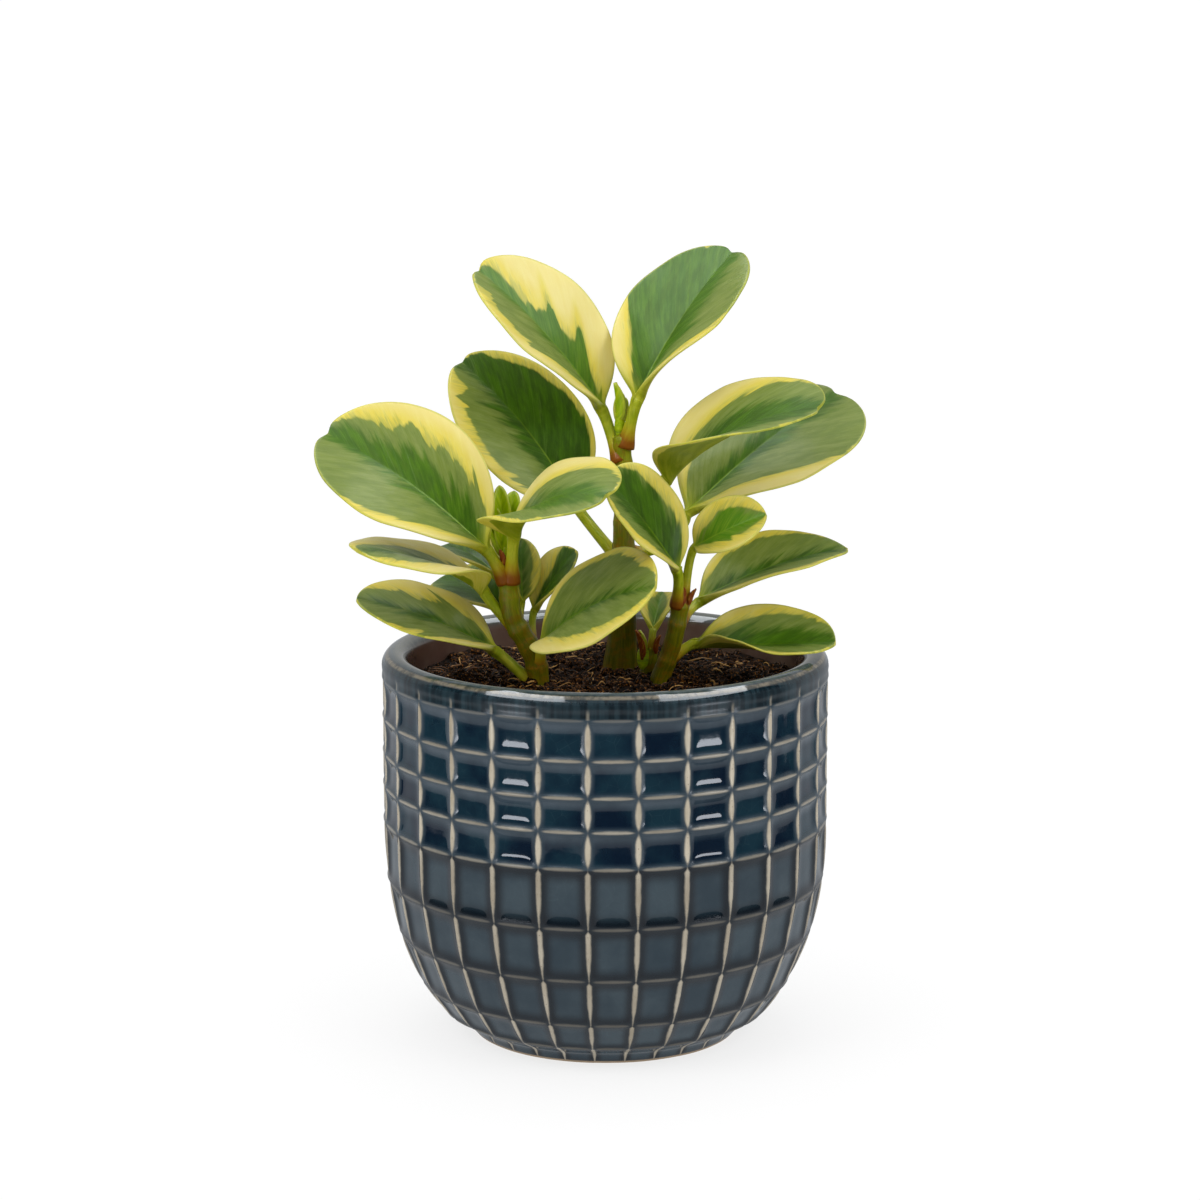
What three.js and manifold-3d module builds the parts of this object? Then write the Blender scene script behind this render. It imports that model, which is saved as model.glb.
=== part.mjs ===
// A variegated baby rubber plant (Peperomia obtusifolia) growing in a glazed planter.
// The planter is a round stoneware bowl whose outside is a net of raised ridges around
// shallow square dishes. Three leafy stems and a small side shoot stand in the potting mix.
// Every leaf is one fleshy blade with its stalk, grown from a joint of its stem.
// Millimetres, +Z up, origin at the centre of the planter's flat underside; -Y is the front.

import * as THREE from "three";
import { mergeVertices } from "three/addons/utils/BufferGeometryUtils.js";
import Module from "manifold-3d";

const wasm = await Module();
wasm.setup();

// Clearance between neighbouring pieces.
const GAP = 0.3;
const UP = new THREE.Vector3(0, 0, 1);
const AWAY = new THREE.Vector3(0, 1, 0);

// Planter.
const POT = {
  radius: 69.7, // greatest radius, on the ridge crests
  bellyTop: 65, // height where the straight side starts to curve in
  bellyAxisZ: 66.2, // vertical half axis of the ellipse below that height
  bellyAxisR: 36, // radial half axis of that ellipse
  footRadius: 41.8, // at the flat underside
  footWaist: 44.3, // halfway up the plain foot below the first ridge
  lipRadius: 65.5, // circle through the middle of the rounded lip
  lipHeight: 117.3,
  lipTube: 4.2,
  innerRadius: 61,
  wall: 8.5,
  dish: 1.3, // depth of a dish below its ridges
  ridgePower: 4, // how steeply a dish rises to its ridges
  pinch: 0.3, // how far two ridges sink where they cross, as a share of the dish
};
const COLUMNS = 29;
const FIRST_RIDGE = THREE.MathUtils.degToRad(-4.3); // from the front to the nearest upright ridge
// Heights of the level ridges, from the foot up to the smooth neck.
const RIDGES = [7.4, 16.9, 32.8, 49.9, 68.5, 79.9, 90.3, 101.5, 113.8];
// Where the net is sampled, from one ridge (0) to the next (1).
const NET_STEPS = [0, 0.25, 0.75];
const LIP_STEPS = 4;

// Potting mix, and the heights at which it and the inside wall bend; the first is the inside floor.
const SOIL_LEVEL = 111;
const WALL_BENDS = [10, 22, 48, SOIL_LEVEL];
const SOIL_RINGS = [1, 0.8, 0.58, 0.36, 0.15];
const SOIL_SIDES = 36;
const SOIL_SHOULDER = 1.5; // how far the crumbly top keeps off the inside wall
const CRUMB = 1.1;
const CRUMB_SEED = 7;

// Stems: the route from the buried end to the tip, with the radius at each point.
const STEMS = {
  stem_central: {
    route: [
      [4, 16.5, 78], [4.7, 16, 108], [5.4, 15.5, 122],
      [5.7, 14.5, 142], [6, 13.5, 168], [5.2, 13.2, 187],
    ],
    radii: [5.2, 6.2, 4.6, 3.6, 3.2, 2.7],
  },
  stem_left: {
    route: [[-19.5, -10, 80], [-20.5, -11, 108], [-22, -12, 121], [-28.5, -13.3, 134], [-30.2, -13.4, 149]],
    radii: [3.4, 3.5, 3.3, 3.1, 2.8],
  },
  stem_right: {
    route: [[13.5, -4, 82], [16, -5, 109], [20.5, -7, 123], [22.9, -8.8, 135], [23.2, -9.4, 139.5]],
    radii: [3.1, 3.2, 2.8, 2.7, 2.4],
  },
  stem_side_shoot: {
    route: [[9, 2.6, 92], [11, 2.4, 108], [13.6, 2.6, 116], [15, 2.8, 121]],
    radii: [2.2, 2.2, 1.9, 1.7],
  },
};
const STEM_SIDES = 10;
const STEM_ROWS = 12;

// Leaves. `foot` is the point in the stem that the stalk grows from, `base` is where the blade
// starts and `tip` is the end of its midrib. `width` is the full width of the flattened blade.
// `roll` turns the blade about its midrib in degrees, positive towards its right-hand half as seen
// from the base with the upper face up. `arch` lifts the middle of the midrib, as a share of its
// length. `fold` is the rise of each half in degrees, at the base and at the tip, and `close` the
// power by which it falls between them. `curl` is the further rise of the left and right margins.
// `shape` holds the powers of the outline at the base and at the tip, `notch` the depth of the
// notched tip as a share of the length, and `stalk` is the radius of the leaf stalk. `sag` is how
// far a drooping stalk is pulled down between its ends.
const LEAVES = {
  leaf_top_left: {
    stem: "stem_central", foot: [3.6, 12.4, 179], base: [-1, 18, 194], tip: [-39, 12, 238],
    width: 42, roll: -42, arch: 0.05, fold: [44, 12], close: 2.5, curl: [5, 4],
    shape: [0.68, 0.55], notch: 0.035, stalk: 2.2,
  },
  leaf_top_right: {
    stem: "stem_central", foot: [7.3, 12.3, 184], base: [10, 11, 198], tip: [40, 28, 242],
    width: 42, roll: 14, arch: 0.05, fold: [57, 8], close: 2.6, curl: [4, 1],
    shape: [0.61, 0.49], notch: 0.03, stalk: 2.2,
  },
  leaf_upper_left: {
    stem: "stem_central", foot: [5.7, 14.3, 146], base: [-10, 22, 164], tip: [-45, 24, 208],
    width: 41, roll: -50, arch: 0.09, fold: [39, 5], close: 2.8, curl: [-8, 0],
    shape: [0.56, 0.54], notch: 0.03, stalk: 2.1,
  },
  leaf_right_up_front: {
    stem: "stem_central", foot: [5.9, 13.8, 160], base: [19, 4, 174], tip: [64, -24, 200],
    width: 46, roll: 22, arch: 0.08, fold: [58, 8], close: 2.1, curl: [0, 4],
    shape: [0.61, 0.49], notch: 0.03, stalk: 2.2,
  },
  leaf_right_up_back: {
    stem: "stem_central", foot: [5.8, 14.2, 152], base: [26, 23, 160], tip: [74, 47, 195],
    width: 54, roll: 27, arch: 0.05, fold: [39, 2], close: 2.7, curl: [-19, 4],
    shape: [0.58, 0.35], notch: 0.03, stalk: 2, sag: 7,
  },
  leaf_left_big: {
    stem: "stem_left", foot: [-31.8, -14.7, 146.5], base: [-36, -17, 155], tip: [-85, -9, 190],
    width: 48, roll: -42, arch: 0.08, fold: [51, 10], close: 2.5, curl: [3, 5],
    shape: [0.72, 0.55], notch: 0.03, stalk: 2.2,
  },
  leaf_left_inner: {
    stem: "stem_left", foot: [-27.8, -15, 146], base: [-27.8, -17.6, 160], tip: [0, -53, 178],
    width: 43, roll: 31, arch: 0.12, fold: [52, 4], close: 1.9, curl: [-12, 6],
    shape: [0.57, 0.49], notch: 0.03, stalk: 2.2,
  },
  leaf_left_mid: {
    stem: "stem_left", foot: [-27.6, -13, 131], base: [-37.4, -14.2, 142.6], tip: [-74, -43, 160],
    width: 37, roll: -11, arch: 0.06, fold: [47, 2], close: 2, curl: [-4, -8],
    shape: [0.62, 0.48], notch: 0, stalk: 2, sag: 2,
  },
  leaf_left_low: {
    stem: "stem_left", foot: [-20.6, -11, 112], base: [-34, -12, 123], tip: [-76, -21, 141],
    width: 33, roll: -23, arch: 0.05, fold: [34, 8], close: 2.6, curl: [0, -3],
    shape: [0.6, 0.55], notch: 0, stalk: 2.1,
  },
  leaf_front_low: {
    stem: "stem_left", foot: [-21.8, -11.9, 119], base: [-19, -16, 126], tip: [15, -48, 150],
    width: 42, roll: 47, arch: 0.08, fold: [48, 5], close: 2.9, curl: [-7, 3],
    shape: [0.69, 0.54], notch: 0, stalk: 2.1,
  },
  leaf_inner_small: {
    stem: "stem_left", foot: [-22, -12.2, 125], base: [-22, -3, 134], tip: [-9, -2, 153],
    width: 17, roll: 29, arch: 0.02, fold: [48, 13], close: 2.4, curl: [7, 6],
    shape: [0.64, 0.48], notch: 0, stalk: 1.4,
  },
  leaf_inner_narrow: {
    stem: "stem_left", foot: [-27.4, -13.1, 131], base: [-26, -5, 137], tip: [-27, 2, 156],
    width: 13, roll: 20, arch: 0.03, fold: [45, 15], close: 2.4, curl: [7, 7],
    shape: [0.64, 0.48], notch: 0, stalk: 1.3,
  },
  leaf_back_left_mid: {
    stem: "stem_left", foot: [-29.6, -14.2, 141], base: [-33, -6, 145], tip: [-51, 14, 151],
    width: 20, roll: -8, arch: 0.08, fold: [45, 8], close: 2.5, curl: [4, 4],
    shape: [0.62, 0.5], notch: 0, stalk: 1.6,
  },
  leaf_back_left_low: {
    stem: "stem_left", foot: [-25, -12, 127], base: [-29.5, 1, 131.5], tip: [-52, 21, 139.5],
    width: 24, roll: -20, arch: 0.08, fold: [45, 8], close: 2.5, curl: [4, 4],
    shape: [0.62, 0.5], notch: 0, stalk: 1.6,
  },
  leaf_mid_front: {
    stem: "stem_right", foot: [21.6, -10.4, 138], base: [22, -16.5, 149], tip: [0, -32, 180],
    width: 30, roll: -61, arch: 0.03, fold: [50, 12], close: 2.2, curl: [5, 7],
    shape: [0.63, 0.45], notch: 0, stalk: 1.9,
  },
  leaf_right_small: {
    stem: "stem_right", foot: [25.2, -9.6, 138], base: [27.6, -9.8, 155], tip: [49, -20, 167],
    width: 20, roll: 60, arch: 0.05, fold: [50, 14], close: 2.5, curl: [8, 7],
    shape: [0.57, 0.5], notch: 0, stalk: 1.6,
  },
  leaf_right_mid: {
    stem: "stem_right", foot: [22.8, -8.6, 132], base: [29, 0, 136], tip: [76, 9, 151],
    width: 36, roll: 13, arch: 0.06, fold: [23, 13], close: 2.3, curl: [0, 4],
    shape: [0.66, 0.68], notch: 0, stalk: 1.9,
  },
  leaf_right_low: {
    stem: "stem_right", foot: [19.6, -6.6, 120], base: [28, -5, 124], tip: [71, -14, 126],
    width: 30, roll: 19, arch: -0.02, fold: [72, 11], close: 2.5, curl: [11, 6],
    shape: [0.65, 0.49], notch: 0, stalk: 1.9,
  },
  leaf_side_low: {
    stem: "stem_side_shoot", foot: [14.6, 2.7, 119], base: [15, 4.5, 126], tip: [18, 21, 135],
    width: 15, roll: 0, arch: 0.02, fold: [60, 18], close: 2, curl: [8, 8],
    shape: [0.62, 0.5], notch: 0, stalk: 1.3,
  },
};

// Unfolding buds: a short core on the stem and a few small leaves that grow from it.
const BUDS = {
  bud_central: {
    stem: "stem_central", core: [4.6, 14.2, 189.5], size: [1.7, 4],
    leaves: [
      { base: [4.2, 14.4, 190], tip: [3.1, 13, 203.3], width: 5.8, roll: -40 },
      { base: [4.6, 14.4, 190], tip: [5, 15.5, 200], width: 5, roll: 10 },
      { base: [4.8, 14.6, 190], tip: [6.4, 17, 198], width: 4, roll: 30 },
    ],
  },
  bud_left: {
    stem: "stem_left", core: [-30.7, -11.3, 151.4], size: [1.9, 5],
    leaves: [
      { base: [-31.2, -11.4, 152], tip: [-37.2, -9, 170.4], width: 8, roll: -50 },
      { base: [-31, -11.2, 152], tip: [-32.5, -8, 174.2], width: 8, roll: -20 },
      { base: [-30.8, -11, 152], tip: [-28, -5, 172], width: 9, roll: 20 },
    ],
  },
  bud_right: {
    stem: "stem_right", core: [22.6, -7.2, 141], size: [1.2, 2.6],
    leaves: [{ base: [22.6, -7.3, 141.5], tip: [23.2, -8, 149], width: 3.2, roll: 30 }],
  },
  bud_side: {
    stem: "stem_side_shoot", core: [12, 1.9, 118], size: [2.1, 4],
    leaves: [{ base: [12, 1.9, 119], tip: [10.6, 0.8, 127], width: 4.6, roll: -30 }],
  },
};
const BUD_LEAF = {
  arch: 0.03, fold: [45, 38], close: 1, curl: [12, 12], shape: [0.6, 0.6], notch: 0, stalk: 1.1, rows: 6,
};

// Blade of every leaf.
const THICK = 1.3;
const EDGE = 0.5; // thickness of the margin, as a share of the blade's
const CREASE = 1; // how far from the midrib the fold opens to half its angle
const NECK = 0.3; // share of the blade over which the round stalk flattens into it
const NECK_FADE = 3; // power by which the stalk's width fades along the blade
const VEIN_SWEEP = 0.12; // how far the side veins run forward, as a share of the length
const NOTCH_WIDTH = 0.16; // half width of the notch, as a share of the half blade
const WIDE_ACROSS = [-1, -0.7, -0.35, 0, 0.35, 0.7, 1];
const NARROW_ACROSS = [-1, -0.5, 0, 0.5, 1];
const WIDE_LEAF = 28; // blades at least this wide take the finer section
const BLADE_ROWS = 9;
const FIRST_ROW = 0.012; // first and last row, as shares of the half turn that spaces the rows
const LAST_ROW = 0.98;
const STALK_ROWS = 3;
const STALK_RISE = 0.35; // where the straight lower part of a stalk ends, as a share of its length
const STALK_BEND = 0.15; // how far before its blade a stalk turns, as a share of its length

const FINISHES = {
  glaze: { color: 0x35424f, roughness: 0.15 },
  soil: { color: 0x2e1a0c, roughness: 0.95 },
  stem: { color: 0x5b5f14, roughness: 0.45 },
  leaf: { color: 0x5d8a35, roughness: 0.35 },
  bud: { color: 0x8fb52a, roughness: 0.4 },
};

// Random draws between -1 and 1 that repeat from run to run.
function seeded(seed) {
  let state = seed;
  return () => {
    state = (state * 1664525 + 1013904223) % 4294967296;
    return state / 2147483648 - 1;
  };
}

function lerp(a, b, t) {
  return a + (b - a) * t;
}

function vector(point) {
  return new THREE.Vector3(...point);
}

// A closed surface through rings of points that run counterclockwise seen from the last ring's
// side, each end closed by a fan.
function loft(rings) {
  const sides = rings[0].length;
  const points = rings.flat();
  const faces = [];
  const ahead = (j) => (j + 1) % sides;
  for (let i = 0; i + 1 < rings.length; i++) {
    for (let j = 0; j < sides; j++) {
      const a = i * sides + j;
      const b = i * sides + ahead(j);
      faces.push(a, b, a + sides, b, b + sides, a + sides);
    }
  }
  for (const row of [0, rings.length - 1]) {
    const centre = new THREE.Vector3();
    rings[row].forEach((p) => centre.addScaledVector(p, 1 / sides));
    points.push(centre);
    for (let j = 0; j < sides; j++) {
      const edge = [row * sides + j, row * sides + ahead(j)];
      if (row === 0) edge.reverse();
      faces.push(...edge, points.length - 1);
    }
  }
  const geometry = new THREE.BufferGeometry().setFromPoints(points);
  geometry.setIndex(faces);
  return geometry;
}

// A closed geometry as a manifold-3d solid.
function solid(geometry) {
  const bare = new THREE.BufferGeometry();
  bare.setAttribute("position", geometry.getAttribute("position"));
  bare.setIndex(geometry.index);
  const merged = mergeVertices(bare, 1e-4);
  return new wasm.Manifold(
    new wasm.Mesh({
      numProp: 3,
      vertProperties: merged.attributes.position.array,
      triVerts: new Uint32Array(merged.index.array),
    }),
  );
}

// A solid back as a geometry.
function geometryOf(made) {
  const mesh = made.getMesh();
  const geometry = new THREE.BufferGeometry();
  geometry.setAttribute("position", new THREE.BufferAttribute(mesh.vertProperties, 3));
  geometry.setIndex(new THREE.BufferAttribute(mesh.triVerts, 1));
  return geometry;
}

function piece(name, geometry, finish) {
  const mesh = new THREE.Mesh(geometry, new THREE.MeshStandardMaterial({ ...finish, metalness: 0 }));
  mesh.name = name;
  return mesh;
}

// Radius of the planter over its ridge crests: straight above, an ellipse below.
function crestRadius(z) {
  if (z >= POT.bellyTop) return POT.radius;
  const down = (POT.bellyTop - z) / POT.bellyAxisZ;
  return POT.radius - POT.bellyAxisR * (1 - Math.sqrt(1 - down * down));
}

function innerRadius(z) {
  return Math.min(POT.innerRadius, crestRadius(z) - POT.wall);
}

// Depth of the net below the crests, for the places between two upright and two level ridges.
function netDepth(across, along) {
  const upright = (2 * across - 1) ** POT.ridgePower;
  const level = (2 * along - 1) ** POT.ridgePower;
  return POT.dish * (1 - Math.max(upright, level) * (1 - POT.pinch * upright * level));
}

// One ring of the planter; `sink` gives how far each place across a column lies below `radius`.
function potRing(radius, z, sink = () => 0) {
  const ring = [];
  for (let column = 0; column < COLUMNS; column++) {
    for (const step of NET_STEPS) {
      const angle = FIRST_RIDGE + ((column + step) / COLUMNS) * 2 * Math.PI;
      const r = radius - sink(step);
      ring.push(new THREE.Vector3(r * Math.sin(angle), -r * Math.cos(angle), z));
    }
  }
  return ring;
}

function pot() {
  const rings = [potRing(POT.footRadius, 0), potRing(POT.footWaist, RIDGES[0] / 2)];
  for (let row = 0; row + 1 < RIDGES.length; row++) {
    for (const step of NET_STEPS) {
      const z = lerp(RIDGES[row], RIDGES[row + 1], step);
      rings.push(potRing(crestRadius(z), z, (across) => netDepth(across, step)));
    }
  }
  rings.push(potRing(POT.radius, RIDGES.at(-1)));
  for (let i = 0; i <= LIP_STEPS; i++) {
    const turn = (i / LIP_STEPS) * Math.PI;
    rings.push(
      potRing(POT.lipRadius + POT.lipTube * Math.cos(turn), POT.lipHeight + POT.lipTube * Math.sin(turn)),
    );
  }
  for (const z of [...WALL_BENDS].reverse()) {
    rings.push(potRing(innerRadius(z), z));
  }
  return loft(rings);
}

function soilRing(radius, z) {
  const ring = [];
  for (let i = 0; i < SOIL_SIDES; i++) {
    const angle = (i / SOIL_SIDES) * 2 * Math.PI;
    ring.push(new THREE.Vector3(radius * Math.sin(angle), -radius * Math.cos(angle), z()));
  }
  return ring;
}

// Potting mix: it fills the planter, with a crumbly top and a plain hole for each stem.
function soil(stemHoles) {
  const draw = seeded(CRUMB_SEED);
  const rings = WALL_BENDS.map((z) => {
    const height = z === WALL_BENDS[0] ? z + GAP : z;
    return soilRing(innerRadius(z) - GAP, () => height);
  });
  for (const share of SOIL_RINGS) {
    const radius = (POT.innerRadius - SOIL_SHOULDER) * share;
    rings.push(soilRing(radius, () => SOIL_LEVEL + CRUMB * draw()));
  }
  return geometryOf(stemHoles.reduce((whole, hole) => whole.subtract(hole), solid(loft(rings))));
}

// A stem as a loft along its route, grown by `extra` on all sides.
function stem({ route, radii }, extra = 0) {
  const curve = new THREE.CatmullRomCurve3(route.map(vector));
  const rings = [];
  for (let i = 0; i <= STEM_ROWS; i++) {
    const t = i / STEM_ROWS;
    const centre = curve.getPoint(t);
    const tangent = curve.getTangent(t);
    if (i === 0) centre.addScaledVector(tangent, -extra);
    if (i === STEM_ROWS) centre.addScaledVector(tangent, extra);
    const place = t * (radii.length - 1);
    const before = Math.min(Math.floor(place), radii.length - 2);
    const radius = lerp(radii[before], radii[before + 1], place - before) + extra;
    const side = AWAY.clone().cross(tangent).normalize();
    const front = new THREE.Vector3().crossVectors(tangent, side);
    const ring = [];
    for (let j = 0; j < STEM_SIDES; j++) {
      const angle = (j / STEM_SIDES) * 2 * Math.PI;
      ring.push(
        centre.clone()
          .addScaledVector(side, radius * Math.cos(angle))
          .addScaledVector(front, radius * Math.sin(angle)),
      );
    }
    rings.push(ring);
  }
  return loft(rings);
}

// Axes of a blade: along its midrib, to its right and out of its upper face.
function bladeAxes(leaf) {
  const forward = vector(leaf.tip).sub(vector(leaf.base));
  const length = forward.length();
  forward.normalize();
  const level = new THREE.Vector3().crossVectors(forward, UP).normalize();
  const face = new THREE.Vector3().crossVectors(level, forward);
  const turn = THREE.MathUtils.degToRad(leaf.roll);
  const right = level.clone().multiplyScalar(Math.cos(turn)).addScaledVector(face, -Math.sin(turn));
  const upper = face.clone().multiplyScalar(Math.cos(turn)).addScaledVector(level, Math.sin(turn));
  return { forward, right, upper, length };
}

// Half width of the outline as a share of its widest, at `row` from 0 at the base to 1 at the tip.
function outline(row, [atBase, atTip]) {
  const widest = atBase / (atBase + atTip);
  const power = (m) => m ** atBase * (1 - m) ** atTip;
  return power(row) / power(widest);
}

// One closed section of a blade. Its points lie on a side vein of each half, first over the upper
// face from left to right and then back under the lower face.
function bladeSection(leaf, axes, row, across) {
  const wide = outline(row, leaf.shape);
  const half = Math.hypot((wide * leaf.width) / 2, leaf.stalk * (1 - row) ** NECK_FADE);
  const flat = Math.min(1, row / NECK);
  const thick = THICK + (2 * leaf.stalk - THICK) * (1 - flat) ** 2;
  const veinFoot = row - 4 * VEIN_SWEEP * row * (1 - row);
  const dip = row > 0.5 ? Math.exp(-((wide / NOTCH_WIDTH) ** 2)) : 0;
  const margin = row + leaf.notch * (row ** 6 - dip);
  const place = (t, side) => {
    const out = Math.abs(t);
    const along = lerp(veinFoot, margin, out);
    const open = leaf.fold[1] + (leaf.fold[0] - leaf.fold[1]) * (1 - Math.min(1, along)) ** leaf.close;
    const rise = THREE.MathUtils.degToRad(open + leaf.curl[t > 0 ? 1 : 0] * out);
    const reach = half * out;
    const angle = (rise * reach) / (reach + CREASE);
    const slope = 4 * leaf.arch * (1 - 2 * along);
    const normal = axes.upper.clone().addScaledVector(axes.forward, -slope).normalize();
    const facing = normal.clone().multiplyScalar(Math.cos(angle));
    facing.addScaledVector(axes.right, -Math.sign(t) * Math.sin(angle));
    const depth = (thick / 2) * Math.sqrt(1 - (1 - EDGE * EDGE) * out ** lerp(2, 4, flat));
    return vector(leaf.base)
      .addScaledVector(axes.forward, along * axes.length)
      .addScaledVector(axes.upper, 4 * leaf.arch * along * (1 - along) * axes.length)
      .addScaledVector(axes.right, Math.sign(t) * reach * Math.cos(angle))
      .addScaledVector(normal, reach * Math.sin(angle))
      .addScaledVector(facing, side * depth);
  };
  return [...across.map((t) => place(t, 1)), ...[...across].reverse().map((t) => place(t, -1))];
}

// Sections of the stalk, from inside the stem to the start of the blade.
function stalkSections(leaf, axes, across) {
  const foot = vector(leaf.foot);
  const base = vector(leaf.base);
  const reach = foot.distanceTo(base) * STALK_BEND;
  const start = axes.forward.clone().addScaledVector(axes.upper, 4 * leaf.arch).normalize();
  const drop = -(leaf.sag ?? 0);
  const curve = new THREE.CubicBezierCurve3(
    foot,
    foot.clone().lerp(base, STALK_RISE).addScaledVector(UP, drop),
    base.clone().addScaledVector(start, -reach).addScaledVector(UP, drop),
    base,
  );
  const sections = [];
  for (let i = 0; i < STALK_ROWS; i++) {
    const centre = curve.getPoint(i / STALK_ROWS);
    const tangent = curve.getTangent(i / STALK_ROWS);
    const right = axes.right.clone().addScaledVector(tangent, -axes.right.dot(tangent)).normalize();
    const upper = new THREE.Vector3().crossVectors(right, tangent);
    const place = (t, side) => {
      const depth = leaf.stalk * Math.sqrt(1 - (1 - EDGE * EDGE) * t * t);
      return centre.clone().addScaledVector(right, t * leaf.stalk).addScaledVector(upper, side * depth);
    };
    sections.push([...across.map((t) => place(t, 1)), ...[...across].reverse().map((t) => place(t, -1))]);
  }
  return sections;
}

// A whole leaf: stalk and blade in one loft. Rows crowd towards the base and the tip.
function leafSolid(leaf) {
  const axes = bladeAxes(leaf);
  const across = leaf.width >= WIDE_LEAF ? WIDE_ACROSS : NARROW_ACROSS;
  const sections = leaf.foot ? stalkSections(leaf, axes, across) : [];
  const rows = leaf.rows ?? BLADE_ROWS;
  for (let i = 0; i <= rows; i++) {
    const turn = lerp(FIRST_ROW, LAST_ROW, i / rows) * Math.PI;
    sections.push(bladeSection(leaf, axes, (1 - Math.cos(turn)) / 2, across));
  }
  return solid(loft(sections));
}

function bud(spec) {
  const [radius, height] = spec.size;
  const core = new THREE.SphereGeometry(radius, 7, 5);
  core.deleteAttribute("normal");
  core.deleteAttribute("uv");
  core.rotateX(Math.PI / 2);
  core.scale(1, 1, height / radius);
  core.translate(...spec.core);
  return spec.leaves.reduce((whole, leaf) => whole.add(leafSolid({ ...BUD_LEAF, ...leaf })), solid(core));
}

const plant = new THREE.Group();
plant.add(piece("pot", pot(), FINISHES.glaze));

const clearances = {};
for (const [name, spec] of Object.entries(STEMS)) {
  plant.add(piece(name, stem(spec), FINISHES.stem));
  clearances[name] = solid(stem(spec, GAP));
}
plant.add(piece("soil", soil(Object.values(clearances)), FINISHES.soil));
for (const [name, leaf] of Object.entries(LEAVES)) {
  const made = leafSolid(leaf).subtract(clearances[leaf.stem]);
  plant.add(piece(name, geometryOf(made), FINISHES.leaf));
}
for (const [name, spec] of Object.entries(BUDS)) {
  const made = bud(spec).subtract(clearances[spec.stem]);
  plant.add(piece(name, geometryOf(made), FINISHES.bud));
}

export default plant;
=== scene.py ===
"""Looks of a variegated baby rubber plant growing in a glazed planter.

The planter, the potting mix, the stems, the leaves and the buds are surfaces worked out with numpy
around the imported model, and each finish is a procedural material. Lengths and places in the tables
are millimetres in the model's own frame, with +Z up and -Y towards the viewer. Angles are degrees.
"""

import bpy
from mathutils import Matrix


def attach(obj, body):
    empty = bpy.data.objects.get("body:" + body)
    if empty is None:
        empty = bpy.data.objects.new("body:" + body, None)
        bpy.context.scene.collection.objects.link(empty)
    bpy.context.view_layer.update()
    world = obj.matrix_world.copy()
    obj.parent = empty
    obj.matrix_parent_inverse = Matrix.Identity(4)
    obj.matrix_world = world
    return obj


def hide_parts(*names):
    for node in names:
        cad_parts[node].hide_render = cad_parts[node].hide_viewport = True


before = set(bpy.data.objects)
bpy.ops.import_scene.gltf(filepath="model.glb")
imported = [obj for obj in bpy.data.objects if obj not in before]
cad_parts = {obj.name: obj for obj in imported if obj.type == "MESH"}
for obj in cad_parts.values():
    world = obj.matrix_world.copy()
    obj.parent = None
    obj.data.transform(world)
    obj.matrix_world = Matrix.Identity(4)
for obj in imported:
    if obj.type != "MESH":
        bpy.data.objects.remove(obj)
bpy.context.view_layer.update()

import math

import bpy
import numpy as np
from bpy.props import FloatProperty, FloatVectorProperty, IntProperty, PointerProperty
from bpy.types import Operator, Panel, PropertyGroup

bl_info = {
    "name": "Potted baby rubber plant",
    "version": (1, 0, 0),
    "blender": (4, 5, 0),
    "location": "3D View > Sidebar > Rubber Plant",
    "description": "Builds a variegated baby rubber plant in a glazed planter around its packed model",
    "category": "Object",
}

MM = 0.001
UP = np.array([0.0, 0.0, 1.0])
AWAY = np.array([0.0, 1.0, 0.0])
BODY = "root"
SEEDS = {"wobble": 3, "swells": 11, "crumbs": 21, "fibres": 22, "stems": 31, "leaves": 41, "buds": 71}

# Planter, as in the model: a straight side above `belly_top` and an ellipse below it, a rounded lip,
# and a net of raised ridges around shallow dishes.
POT = {
    "radius": 69.7, "belly_top": 65.0, "belly_axis_z": 66.2, "belly_axis_r": 36.0,
    "foot_radius": 41.8, "foot_edge": 0.8, "foot_waist": 44.3,
    "lip_radius": 65.5, "lip_height": 117.3, "lip_tube": 4.2,
    "inner_radius": 61.0, "wall": 8.5, "floor": 10.0,
    "ridge_power": 4.0, "pinch": 0.3, "crest": 0.14, "neck_groove": 0.15,
    "wobble": 0.1, "wobble_size": 17.0,
}
FIRST_RIDGE = math.radians(-4.3)
RIDGES = np.array([7.4, 16.9, 32.8, 49.9, 68.5, 79.9, 90.3, 101.5, 113.8])
LEANS = np.array([0.0, 1.0, 2.0, 2.0, 2.0, 1.4, 0.7, 0.0])  # how far each row's dishes face upward
NET_STEPS = 16
FOOT_ROWS = 7
NECK_ROWS = 9
LIP_ROWS = 20
INSIDE_HEIGHTS = [111.0, 104.0, 92.0, 76.0, 60.0, 48.0, 36.0, 22.0, 15.0, 10.0]

# Potting mix. A swell is a length and a height.
SOIL_LEVEL = 111.0
SOIL_GAP = 0.3
SOIL_SWELLS = [(24.0, 1.0), (8.0, 0.9), (3.2, 0.55), (1.4, 0.25)]
SOIL_HEAP = 1.1  # how high the mix is heaped round a stem
SOIL_HEAP_SPREAD = 90.0  # square millimetres, the square of how far the heap reaches
SOIL_WALL_HEIGHTS = [22.0, 48.0, 80.0, 104.0]
SOIL_RINGS = 84
SOIL_SECTORS = 240
CRUMB_SIZES = (0.45, 1.7)  # the least radius, and how much the largest adds to it
CRUMB_RARITY = 3.2
CRUMB_SUNK = 0.25
FIBRE_LENGTHS = (2.0, 9.0)
FIBRE_RADII = (0.1, 0.34)
FIBRE_HUMPS = (-0.4, 1.3)
FIBRE_BEND = 0.9
FIBRE_LIFT = 0.15

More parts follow.
